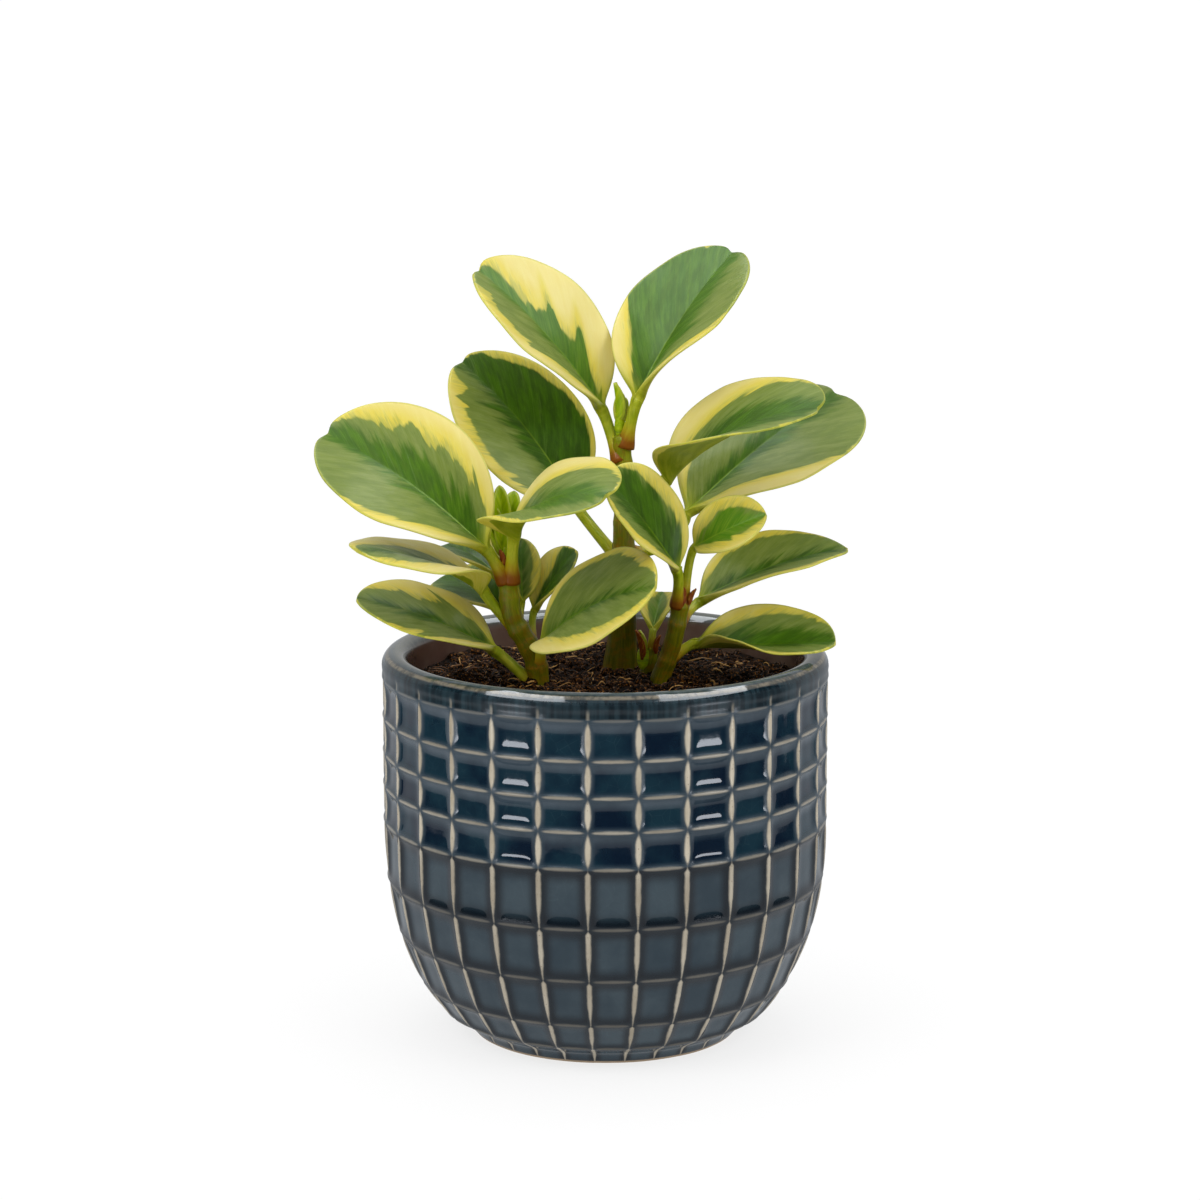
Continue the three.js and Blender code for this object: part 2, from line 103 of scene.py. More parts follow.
# Stems: route from the buried end to the tip, and the radius at each of its points.
STEMS = {
    "stem_central": {
        "route": [
            (4, 16.5, 78), (4.7, 16, 108), (5.4, 15.5, 122),
            (5.7, 14.5, 142), (6, 13.5, 168), (5.2, 13.2, 187),
        ],
        "radii": [5.2, 6.2, 4.6, 3.6, 3.2, 2.7],
    },
    "stem_left": {
        "route": [
            (-19.5, -10, 80), (-20.5, -11, 108), (-22, -12, 121),
            (-28.5, -13.3, 134), (-30.2, -13.4, 149),
        ],
        "radii": [3.4, 3.5, 3.3, 3.1, 2.8],
    },
    "stem_right": {
        "route": [(13.5, -4, 82), (16, -5, 109), (20.5, -7, 123), (22.9, -8.8, 135), (23.2, -9.4, 139.5)],
        "radii": [3.1, 3.2, 2.8, 2.7, 2.4],
    },
    "stem_side_shoot": {
        "route": [(9, 2.6, 92), (11, 2.4, 108), (13.6, 2.6, 116), (15, 2.8, 121)],
        "radii": [2.2, 2.2, 1.9, 1.7],
    },
}
STEM_SIDES = 36
STEM_ROWS = 150
JOINT_DROP = 1.0  # how far below a stalk's foot its joint swells
JOINT_SWELL = 0.2
JOINT_WIDTH = 1.3
JOINT_WAIST = 0.4
FLUSH = (0.42, 0.6, 1.6)  # most red, height above the joint and spread
TIP_CLOSES = 0.985
FOOT_SUNK = 0.6  # how far a stalk's foot moves in towards the middle of its stem

# Leaves, one row each. The first columns are the model's: where the stalk's foot and the midrib stand,
# and how the blade folds, arches and curls. `left` and `right` say how far the green reaches from the
# midrib towards each margin, as shares, at the rows of GREEN_ROWS; 1 is the margin itself. `deep` gives
# the reach of the deep green in each half as shares of that; beyond it the half is greyish green, which is
# partly the leaf's own tone and partly a painted sheen on halves that catch the light. `ragged` is how
# deep the green and the cream run into each other, and `tone` makes a leaf younger and brighter.
LEAF_COLUMNS = (
    "stem", "foot", "base", "tip",
    "width", "roll", "arch", "fold", "close", "curl", "shape", "notch", "stalk",
    "left", "right", "deep", "ragged", "tone",
)
LEAF_ROWS = {
    "leaf_top_left": (
        "stem_central", (3.6, 12.4, 179), (-1, 18, 194), (-39, 12, 238),
        42, -42, 0.05, (44, 12), 2.5, (5, 4), (0.68, 0.55), 0.035, 2.2,
        (0.15, 0.4, 0.55, 0.7, 0.8, 1.1), (0.2, 0.26, 0.26, 0.2, 0.3, 0.7), (0.1, 1.2), 4.5, 0.5,
    ),
    "leaf_top_right": (
        "stem_central", (7.3, 12.3, 184), (10, 11, 198), (40, 28, 242),
        42, 14, 0.05, (57, 8), 2.6, (4, 1), (0.61, 0.49), 0.03, 2.2,
        (0.35, 0.55, 0.93, 1.2, 1.2, 1.2), (0.4, 0.65, 0.93, 1.05, 1.2, 1.2), (1.2, 0.35), 2.5, 0.25,
    ),
    "leaf_upper_left": (
        "stem_central", (5.7, 14.3, 146), (-10, 22, 164), (-45, 24, 208),
        41, -50, 0.09, (39, 5), 2.8, (-8, 0), (0.56, 0.54), 0.03, 2.1,
        (0.6, 0.86, 0.84, 0.8, 0.58, 0.8), (0.8, 0.93, 0.91, 0.87, 0.8, 1.0), (0.3, 1.3), 3.5, 0.0,
    ),
    "leaf_right_up_front": (
        "stem_central", (5.9, 13.8, 160), (19, 4, 174), (64, -24, 200),
        46, 22, 0.08, (58, 8), 2.1, (0, 4), (0.61, 0.49), 0.03, 2.2,
        (0.12, 0.3, 0.63, 0.88, 0.98, 1.1), (0.8, 0.9, 0.97, 1.0, 1.05, 1.1), (0.5, 0.6), 3.0, 0.1,
    ),
    "leaf_right_up_back": (
        "stem_central", (5.8, 14.2, 152), (26, 23, 160), (74, 47, 195),
        54, 27, 0.05, (39, 2), 2.7, (-19, 4), (0.58, 0.35), 0.03, 2,
        (0.5, 0.72, 0.87, 0.93, 1.0, 1.1), (0.35, 0.4, 0.66, 0.95, 1.1, 1.1), (0.15, 0.2), 2.5, 0.15,
    ),
    "leaf_left_big": (
        "stem_left", (-31.8, -14.7, 146.5), (-36, -17, 155), (-85, -9, 190),
        48, -42, 0.08, (51, 10), 2.5, (3, 5), (0.72, 0.55), 0.03, 2.2,
        (0.35, 0.6, 0.82, 1.0, 1.1, 0.85), (0.5, 0.58, 0.7, 0.66, 0.7, 1.0), (0.15, 0.6), 4.5, 0.25,
    ),
    "leaf_left_inner": (
        "stem_left", (-27.8, -15, 146), (-27.8, -17.6, 160), (0, -53, 178),
        43, 31, 0.12, (52, 4), 1.9, (-12, 6), (0.57, 0.49), 0.03, 2.2,
        (0.15, 0.3, 0.5, 0.66, 0.93, 1.1), (0.5, 0.7, 0.87, 0.95, 1.0, 1.1), (0.4, 0.5), 3.0, 0.3,
    ),
    "leaf_left_mid": (
        "stem_left", (-27.6, -13, 131), (-37.4, -14.2, 142.6), (-74, -43, 160),
        37, -11, 0.06, (47, 2), 2, (-4, -8), (0.62, 0.48), 0, 2,
        (0.1, 0.2, 0.35, 0.55, 0.75, 0.9), (0.15, 0.2, 0.3, 0.42, 0.4, 0.6), (0.2, 0.2), 3.5, 0.15,
    ),
    "leaf_left_low": (
        "stem_left", (-20.6, -11, 112), (-34, -12, 123), (-76, -21, 141),
        33, -23, 0.05, (34, 8), 2.6, (0, -3), (0.6, 0.55), 0, 2.1,
        (0.3, 0.5, 0.75, 0.86, 0.96, 1.1), (0.3, 0.5, 0.52, 0.56, 0.68, 1.05), (0.1, 0.15), 5.0, 0.05,
    ),
    "leaf_front_low": (
        "stem_left", (-21.8, -11.9, 119), (-19, -16, 126), (15, -48, 150),
        42, 47, 0.08, (48, 5), 2.9, (-7, 3), (0.69, 0.54), 0, 2.1,
        (0.4, 0.76, 0.88, 0.86, 0.74, 0.8), (0.25, 0.42, 0.66, 0.68, 0.68, 0.7), (0.1, 0.15), 2.2, 0.2,
    ),
    "leaf_inner_small": (
        "stem_left", (-22, -12.2, 125), (-22, -3, 134), (-9, -2, 153),
        17, 29, 0.02, (48, 13), 2.4, (7, 6), (0.64, 0.48), 0, 1.4,
        (0.15, 0.2, 0.3, 0.36, 0.6, 0.7), (0.6, 0.8, 0.96, 1.05, 1.0, 0.9), (1.0, 1.0), 2.5, 0.1,
    ),
    "leaf_inner_narrow": (
        "stem_left", (-27.4, -13.1, 131), (-26, -5, 137), (-27, 2, 156),
        13, 20, 0.03, (45, 15), 2.4, (7, 7), (0.64, 0.48), 0, 1.3,
        (0.3, 0.5, 0.6, 0.6, 0.6, 0.7), (0.4, 0.6, 0.7, 0.7, 0.7, 0.8), (0.5, 0.5), 2.0, 0.2,
    ),
    "leaf_back_left_mid": (
        "stem_left", (-29.6, -14.2, 141), (-33, -6, 145), (-51, 14, 151),
        20, -8, 0.08, (45, 8), 2.5, (4, 4), (0.62, 0.5), 0, 1.6,
        (0.4, 0.6, 0.75, 0.8, 0.85, 0.9), (0.5, 0.7, 0.8, 0.8, 0.85, 0.9), (0.6, 0.6), 2.5, 0.1,
    ),
    "leaf_back_left_low": (
        "stem_left", (-25, -12, 127), (-29.5, 1, 131.5), (-52, 21, 139.5),
        24, -20, 0.08, (45, 8), 2.5, (4, 4), (0.62, 0.5), 0, 1.6,
        (0.5, 0.7, 0.8, 0.82, 0.88, 0.95), (0.5, 0.65, 0.75, 0.8, 0.85, 0.9), (0.8, 0.8), 2.5, 0.05,
    ),
    "leaf_mid_front": (
        "stem_right", (21.6, -10.4, 138), (22, -16.5, 149), (0, -32, 180),
        30, -61, 0.03, (50, 12), 2.2, (5, 7), (0.63, 0.45), 0, 1.9,
        (0.2, 0.45, 0.66, 0.76, 0.82, 0.95), (0.5, 0.68, 0.72, 0.71, 0.8, 0.95), (0.5, 1.0), 2.5, 0.05,
    ),
    "leaf_right_small": (
        "stem_right", (25.2, -9.6, 138), (27.6, -9.8, 155), (49, -20, 167),
        20, 60, 0.05, (50, 14), 2.5, (8, 7), (0.57, 0.5), 0, 1.6,
        (0.3, 0.6, 0.78, 0.72, 0.5, 0.4), (0.4, 0.6, 0.55, 0.5, 0.45, 0.4), (1.0, 1.0), 3.0, 1.0,
    ),
    "leaf_right_mid": (
        "stem_right", (22.8, -8.6, 132), (29, 0, 136), (76, 9, 151),
        36, 13, 0.06, (23, 13), 2.3, (0, 4), (0.66, 0.68), 0, 1.9,
        (0.55, 0.73, 0.79, 0.86, 1.0, 1.1), (0.5, 0.7, 0.85, 0.92, 0.98, 1.1), (0.2, 0.3), 2.5, 0.0,
    ),
    "leaf_right_low": (
        "stem_right", (19.6, -6.6, 120), (28, -5, 124), (71, -14, 126),
        30, 19, -0.02, (72, 11), 2.5, (11, 6), (0.65, 0.49), 0, 1.9,
        (0.4, 0.58, 0.74, 0.83, 0.95, 1.05), (0.5, 0.75, 0.86, 0.88, 0.93, 1.0), (0.6, 0.3), 2.2, 0.1,
    ),
    "leaf_side_low": (
        "stem_side_shoot", (14.6, 2.7, 119), (15, 4.5, 126), (18, 21, 135),
        15, 0, 0.02, (60, 18), 2, (8, 8), (0.62, 0.5), 0, 1.3,
        (0.3, 0.4, 0.5, 0.5, 0.5, 0.5), (0.3, 0.4, 0.5, 0.5, 0.5, 0.5), (0.6, 0.6), 2.0, 0.5,
    ),
}
LEAVES = {name: dict(zip(LEAF_COLUMNS, row)) for name, row in LEAF_ROWS.items()}
# What few leaves have: a stalk that sags, or whose foot is sunk further into the stem, and tongues of
# green in the right half, each with its row, the share of the half that it adds, and its width.
LEAVES["leaf_right_up_back"].update(sag=7, sunk=1.0)
LEAVES["leaf_left_mid"].update(sag=2)
LEAVES["leaf_top_left"].update(tongues=[(0.3, 0.3, 0.05), (0.54, 0.34, 0.04)])
GREEN_ROWS = [0.1, 0.3, 0.5, 0.7, 0.9, 1.0]

# Unfolding buds: a short core on the stem, small leaves, and dry red-brown bracts at their foot.
BUDS = {
    "bud_central": {
        "core": (4.6, 14.2, 189.5), "size": (1.7, 4),
        "leaves": [
            dict(base=(4.2, 14.4, 190), tip=(3.1, 13, 203.3), width=5.8, roll=-40),
            dict(base=(4.6, 14.4, 190), tip=(5, 15.5, 200), width=5, roll=10),
            dict(base=(4.8, 14.6, 190), tip=(6.4, 17, 198), width=4, roll=30),
        ],
        "bracts": [],
    },
    "bud_left": {
        "core": (-30.7, -11.3, 151.4), "size": (1.9, 5),
        "leaves": [
            dict(base=(-31.2, -11.4, 152), tip=(-37.2, -9, 170.4), width=8, roll=-50),
            dict(base=(-31, -11.2, 152), tip=(-32.5, -8, 174.2), width=8, roll=-20),
            dict(base=(-30.8, -11, 152), tip=(-28, -5, 172), width=9, roll=20),
        ],
        "bracts": [dict(base=(-31.3, -14.9, 150), tip=(-32.2, -15.6, 155.5), width=2.6, roll=10)],
    },
    "bud_right": {
        "core": (22.6, -7.2, 141), "size": (1.2, 2.6),
        "leaves": [dict(base=(22.6, -7.3, 141.5), tip=(23.2, -8, 149), width=3.2, roll=30)],
        "bracts": [
            dict(base=(24, -11.6, 137.5), tip=(23.6, -12.8, 143.6), width=3, roll=20),
            dict(base=(25.8, -10.8, 137.5), tip=(28, -11.4, 142.6), width=2.6, roll=-20),
        ],
    },
    "bud_side": {
        "core": (12, 1.9, 118), "size": (2.1, 4),
        "leaves": [dict(base=(12, 1.9, 119), tip=(10.6, 0.8, 127), width=4.6, roll=-30)],
        "bracts": [
            dict(base=(11.6, -0.6, 118), tip=(9.4, -1.6, 127.6), width=5.4, roll=-25),
            dict(base=(15.8, 1, 119.6), tip=(17.4, 0.4, 125.6), width=4, roll=20),
        ],
    },
}
ALL_GREEN = (1.2, 1.2, 1.2, 1.2, 1.2, 1.2)
BUD_LEAF = dict(
    arch=0.03, fold=(45, 38), close=1, curl=(12, 12), shape=(0.6, 0.6), notch=0, stalk=1.1,
    left=ALL_GREEN, right=ALL_GREEN, deep=(2.0, 2.0), ragged=2.0, tone=2.0,
)
BRACT = {**BUD_LEAF, "stalk": 0.5}
BRACT_THICKNESS = 0.5
BRACT_FLUSH = 0.8
CORE_ROWS = 14
CORE_SIDES = 20
CORE_LOOK = dict(zone=(2.0, 2.0, 0.5), heart=(2.0, 0.0, 0.0), skin=(0.0, 2.0, 2.0))

# Blade of every leaf: the model's rules, and the finer relief that only shows close up.
EDGE = 0.5
CREASE = 1.0
NECK = 0.3
NECK_FADE = 3.0
VEIN_SWEEP = 0.12
NOTCH_WIDTH = 0.13
HALF_STEPS = 22
RIM_STEPS = 3
CROWDING = 1.25
BLADE_ROWS = 62
FIRST_ROW = 0.012
LAST_ROW = 0.995
BASE_TAPER = 0.05
GRAIN_SLANT = 0.9  # how many millimetres forward the streaks run for each one outward
GRAIN_APART = 7.3  # keeps the streaks of two leaves unlike
GROOVE = 0.32
GROOVE_WIDTH = 0.8
KEEL = 0.6
KEEL_WIDTH = 1.5
WAVE = 0.35
RIPPLE = 0.12
RIPPLE_SIZE = 4.2

# Stalk of every leaf.
STALK_ROWS = 16
STALK_RISE = 0.35
STALK_BEND = 0.15
STALK_DROP = 1.5  # how much lower than its joint a foot heads for the stem's middle
CLASP = 0.4
CLASP_LENGTH = 3.5
WAIST = 0.16
FLAT_SIDE = 0.88
FOLDS_FROM = 0.3
STALK_GROOVE = 0.4
STALK_GROOVE_WIDTH = 0.3
ON_STALK = -4.0


def srgb(*screen):
    """Linear colour of a screen colour given as 0 to 255."""
    return tuple(((c / 255 + 0.055) / 1.055) ** 2.4 if c > 10 else c / 255 / 12.92 for c in screen)


def unit(vectors):
    """Vectors of length one along the given ones."""
    return vectors / np.linalg.norm(vectors, axis=-1, keepdims=True)


def lerp(a, b, share):
    return a + (b - a) * share


def bell(values, centre, width):
    """A bell curve of height one."""
    return np.exp(-(((values - centre) / width) ** 2))


def smooth_step(values, low, high):
    """0 below `low`, 1 above `high` and an even S between them."""
    share = np.clip((values - low) / (high - low), 0, 1)
    return share * share * (3 - 2 * share)


def stacked(*values):
    """Values of one shape, or that spread to it, as vectors."""
    return np.stack(np.broadcast_arrays(*(np.asarray(v, float) for v in values)), axis=-1)


def turned(radius, angle, height):
    """Points at a radius, an angle from the front and a height round the +Z axis."""
    return stacked(radius * np.sin(angle), -radius * np.cos(angle), height)


def whole_turn(steps):
    """Even angles round a circle, without the last."""
    return np.arange(steps) / steps * 2 * math.pi


def field(x, y, size, seed):
    """Random heights from -1 to 1, drawn on a square lattice `size` apart and joined by even S steps."""
    side = 64
    table = np.random.default_rng(seed).uniform(-1, 1, (side, side))
    column, row = np.floor(x / size).astype(int), np.floor(y / size).astype(int)
    across = smooth_step(x / size - column, 0, 1)
    along = smooth_step(y / size - row, 0, 1)

    def at(i, j):
        return table[i % side, j % side]

    low = lerp(at(column, row), at(column + 1, row), across)
    high = lerp(at(column, row + 1), at(column + 1, row + 1), across)
    return lerp(low, high, along)


def grid_faces(rows, columns):
    """Quads between neighbouring rows of points on a closed loop, facing out of a loop that runs
    counterclockwise seen from the last row, and one many-sided face over each end."""
    i, j = np.meshgrid(np.arange(rows - 1), np.arange(columns), indexing="ij")
    here, ahead = i * columns, (j + 1) % columns
    quads = np.stack([here + j, here + ahead, here + columns + ahead, here + columns + j], axis=-1)
    ends = [list(range(columns))[::-1], list(range((rows - 1) * columns, rows * columns))]
    return quads.reshape(-1, 4).tolist() + ends


def linked(name, data):
    """A new object of the scene that shows the data."""
    made = bpy.data.objects.new(name, data)
    bpy.context.scene.collection.objects.link(made)
    return made


class Shell:
    """Points, faces and point attributes of a mesh that grows body by body."""

    def __init__(self):
        self.points = []
        self.faces = []
        self.attributes = {}
        self.count = 0

    def add(self, points, faces, **attributes):
        flat = points.reshape(-1, 3)
        self.points.append(flat)
        self.faces += [[corner + self.count for corner in face] for face in faces]
        self.count += len(flat)
        for name, values in attributes.items():
            full = np.broadcast_to(values, (*points.shape[:-1], 3)).reshape(-1, 3)
            self.attributes.setdefault(name, []).append(full)

    def loft(self, points, **attributes):
        """Add a closed body over rows of loops."""
        self.add(points, grid_faces(*points.shape[:2]), **attributes)

    def piece(self, name, finish, nodes=(), flat_shaded=False):
        """The mesh as an object that rides with the model, in place of `nodes`."""
        mesh = bpy.data.meshes.new(name)
        mesh.from_pydata(np.concatenate(self.points) * MM, [], self.faces)
        for key, values in self.attributes.items():
            layer = mesh.attributes.new(key, "FLOAT_VECTOR", "POINT")
            layer.data.foreach_set("vector", np.concatenate(values).astype(np.float32).ravel())
        mesh.polygons.foreach_set("use_smooth", np.full(len(mesh.polygons), not flat_shaded))
        mesh.materials.append(finish)
        mesh.validate()
        mesh.update()
        made = linked(name, mesh)
        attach(made, BODY)
        if nodes:
            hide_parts(*nodes)


class Graph:
    """Short calls that add shader nodes to a tree and give back their outputs."""

    def __init__(self, tree):
        self.tree = tree

    def node(self, kind, **settings):
        made = self.tree.nodes.new(kind)
        for key, value in settings.items():
            setattr(made, key, value)
        return made

    def feed(self, socket, value):
        if isinstance(value, bpy.types.NodeSocket):
            self.tree.links.new(value, socket)
        elif value is not None:
            size = len(socket.default_value) if hasattr(socket.default_value, "__len__") else 0
            socket.default_value = (*value, 1.0) if size == 4 and len(value) == 3 else value

    def fed(self, kind, given, **settings):
        """A new node with the values in `given` fed to its sockets, by name or number."""
        made = self.node(kind, **settings)
        for key, value in given.items():
            self.feed(made.inputs[key], value)
        return made

    def math(self, operation, *values):
        return self.fed("ShaderNodeMath", dict(enumerate(values)), operation=operation).outputs[0]

    def chain(self, operation, first, *others):
        for other in others:
            first = self.math(operation, first, other)
        return first

    def add(self, *values):
        return self.chain("ADD", *values)

    def times(self, *values):
        return self.chain("MULTIPLY", *values)

    def most(self, *values):
        return self.chain("MAXIMUM", *values)

    def less(self, a, b):
        return self.math("SUBTRACT", a, b)

    def centred(self, noise, size):
        """Noise about zero instead of about a half, `size` times as strong."""
        return self.times(self.add(noise, -0.5), size)

    def step(self, value, low, high, start=0.0, end=1.0):
        """`start` where value is below `low`, `end` above `high`, an even S between them."""
        given = dict(enumerate((value, low, high, start, end)))
        return self.fed("ShaderNodeMapRange", given, interpolation_type="SMOOTHSTEP").outputs[0]

    def mix(self, share, a, b):
        return self.fed("ShaderNodeMix", {0: share, 6: a, 7: b}, data_type="RGBA").outputs[2]

    def blend(self, share, a, b):
        """As `mix`, for plain values."""
        return self.fed("ShaderNodeMix", {0: share, 2: a, 3: b}, data_type="FLOAT").outputs[0]

    def ramp(self, value, low, high, a, b, most=1.0):
        """Colour `a` where value is below `low`, and the share `most` of colour `b` above `high`."""
        return self.mix(self.step(value, low, high, 0.0, most), a, b)

    def stretch(self, vector, scale, place=(0.0, 0.0, 0.0)):
        given = {"Vector": vector, "Scale": scale, "Location": place}
        return self.fed("ShaderNodeMapping", given).outputs[0]

    def noise(self, vector, scale, detail=2.0, roughness=0.5):
        given = {"Vector": vector, "Scale": scale, "Detail": detail, "Roughness": roughness}
        return self.fed("ShaderNodeTexNoise", given).outputs[0]

    def grained(self, vector, scale, detail=2.0, roughness=0.5, place=(0.0, 0.0, 0.0)):
        """Noise with its own scale along each axis."""
        return self.noise(self.stretch(vector, scale, place), 1.0, detail, roughness)

    def cells(self, vector, scale, feature="F1"):
        given = {"Vector": vector, "Scale": scale}
        return self.fed("ShaderNodeTexVoronoi", given, feature=feature).outputs["Distance"]

    def attribute(self, name):
        """The three numbers of a point attribute, and the attribute as a vector."""
        vector = self.node("ShaderNodeAttribute", attribute_name=name).outputs["Vector"]
        return *self.fed("ShaderNodeSeparateXYZ", {0: vector}).outputs, vector

    def place(self):
        return self.node("ShaderNodeTexCoord").outputs["Object"]

    def bump(self, height, strength, distance):
        given = {"Strength": strength, "Distance": distance, "Height": height}
        return self.fed("ShaderNodeBump", given).outputs[0]

    def use(self, group, **given):
        """The outputs of a node group that is placed with its own values."""
        return self.fed("ShaderNodeGroup", given, node_tree=group).outputs


def node_group(name, inputs, outputs):
    """A new node group with its sockets, and the graph to fill it."""
    tree = bpy.data.node_groups.new(name, "ShaderNodeTree")
    for direction, sockets in (("INPUT", inputs), ("OUTPUT", outputs)):
        for key, kind in sockets:
            tree.interface.new_socket(key, in_out=direction, socket_type="NodeSocket" + kind)
    graph = Graph(tree)
    return tree, graph, graph.node("NodeGroupInput").outputs, graph.node("NodeGroupOutput").inputs


def material(name, **constants):
    """A new material, its graph and its Principled shader with the given constant values."""
    made = bpy.data.materials.new(name)
    made.use_nodes = True
    graph = Graph(made.node_tree)
    shader = made.node_tree.nodes["Principled BSDF"]
    for key, value in constants.items():
        graph.feed(shader.inputs[key.replace("_", " ")], value)
    return made, graph, shader.inputs


# Node groups

def skin_group():
    """Fleshy plant skin: tiny pores and a soft mottling, from a position in millimetres."""
    tree, g, given, out = node_group(
        "fleshy_skin", [("Place", "Vector")], [("Height", "Float"), ("Mottle", "Float"), ("Pores", "Float")]
    )
    pores = g.step(g.cells(given["Place"], 1.5), 0.02, 0.3)
    fine = g.noise(given["Place"], 2.4, 3.0, 0.6)
    g.feed(out["Pores"], pores)
    g.feed(out["Mottle"], g.noise(given["Place"], 0.22, 4.0, 0.6))
    g.feed(out["Height"], g.add(g.times(fine, 0.6), g.times(pores, 0.4)))
    return tree


def variegation_group():
    """Green and cream of a leaf, from its grain (outward, across the streaks and a seed, in
    millimetres), the distances inside the green and inside its deep heart in millimetres, and how
    ragged their borders are. The noise is long outward and short across, so that it makes streaks."""
    tree, g, given, out = node_group(
        "variegation",
        [("Grain", "Vector"), ("Inside", "Float"), ("Heart", "Float"), ("Ragged", "Float")],
        [("Green", "Float"), ("Deep", "Float"), ("Streaks", "Float")],
    )
    grain = given["Grain"]
    broad = g.grained(grain, (0.05, 0.13, 1.0))
    narrow = g.grained(grain, (0.13, 0.5, 1.0), 3.0, 0.6, (5.0, 3.0, 1.0))
    hair = g.grained(grain, (0.3, 2.4, 1.0), 3.0, 0.6, (9.0, 1.0, 4.0))
    calm = g.grained(grain, (0.03, 0.08, 1.0), 1.0, 0.5, (7.0, 7.0, 7.0))
    ragged = g.times(given["Ragged"], g.step(calm, 0.36, 0.64, 0.2, 1.3))
    tongues = g.centred(broad, g.times(ragged, 3.2))
    teeth = g.centred(narrow, g.add(g.times(ragged, 0.7), 0.5))
    inside = g.add(given["Inside"], tongues, teeth, g.centred(hair, 0.5))
    g.feed(out["Green"], g.step(inside, -0.4, 0.6))
    patches = g.grained(grain, (0.09, 0.3, 1.0), 4.0, 0.65, (2.0, 8.0, 3.0))
    depth = g.add(given["Heart"], g.times(tongues, 0.8), g.centred(patches, 14.0), g.centred(hair, 1.6))
    g.feed(out["Deep"], g.step(depth, -2.4, 2.4))
    g.feed(out["Streaks"], g.add(g.times(narrow, 0.6), g.times(hair, 0.4)))
    return tree


def reddening_group():
    """Red-brown flush of a joint, breaking up into specks at its edge."""
    tree, g, given, out = node_group(
        "reddening", [("Colour", "Color"), ("Amount", "Float"), ("Place", "Vector")], [("Colour", "Color")]
    )
    specks = g.noise(given["Place"], 1.2, 3.0, 0.6)
    share = g.step(g.add(given["Amount"], g.centred(specks, 0.9)), 0.3, 0.85)
    orange = g.mix(share, given["Colour"], srgb(176, 104, 26))
    g.feed(out["Colour"], g.ramp(share, 0.6, 1.0, orange, srgb(112, 40, 16), 0.8))
    return tree


def earth_group():
    """Moist potting mix: dark humus with rusty bark specks, from a position in metres."""
    tree, g, given, out = node_group(
        "earth", [("Place", "Vector"), ("Rust", "Float")], [("Colour", "Color"), ("Height", "Float")]
    )
    clods = g.noise(given["Place"], 260.0, 4.0, 0.65)
    grains = g.noise(given["Place"], 1400.0, 3.0, 0.6)
    dark = g.ramp(clods, 0.4, 0.7, srgb(8, 4, 2), srgb(38, 20, 8))
    rusty = g.add(grains, g.times(given["Rust"], 0.3))
    g.feed(out["Colour"], g.ramp(rusty, 0.66, 0.84, dark, srgb(140, 88, 34)))
    g.feed(out["Height"], g.add(g.times(clods, 0.6), g.times(grains, 0.4)))
    return tree


# Materials

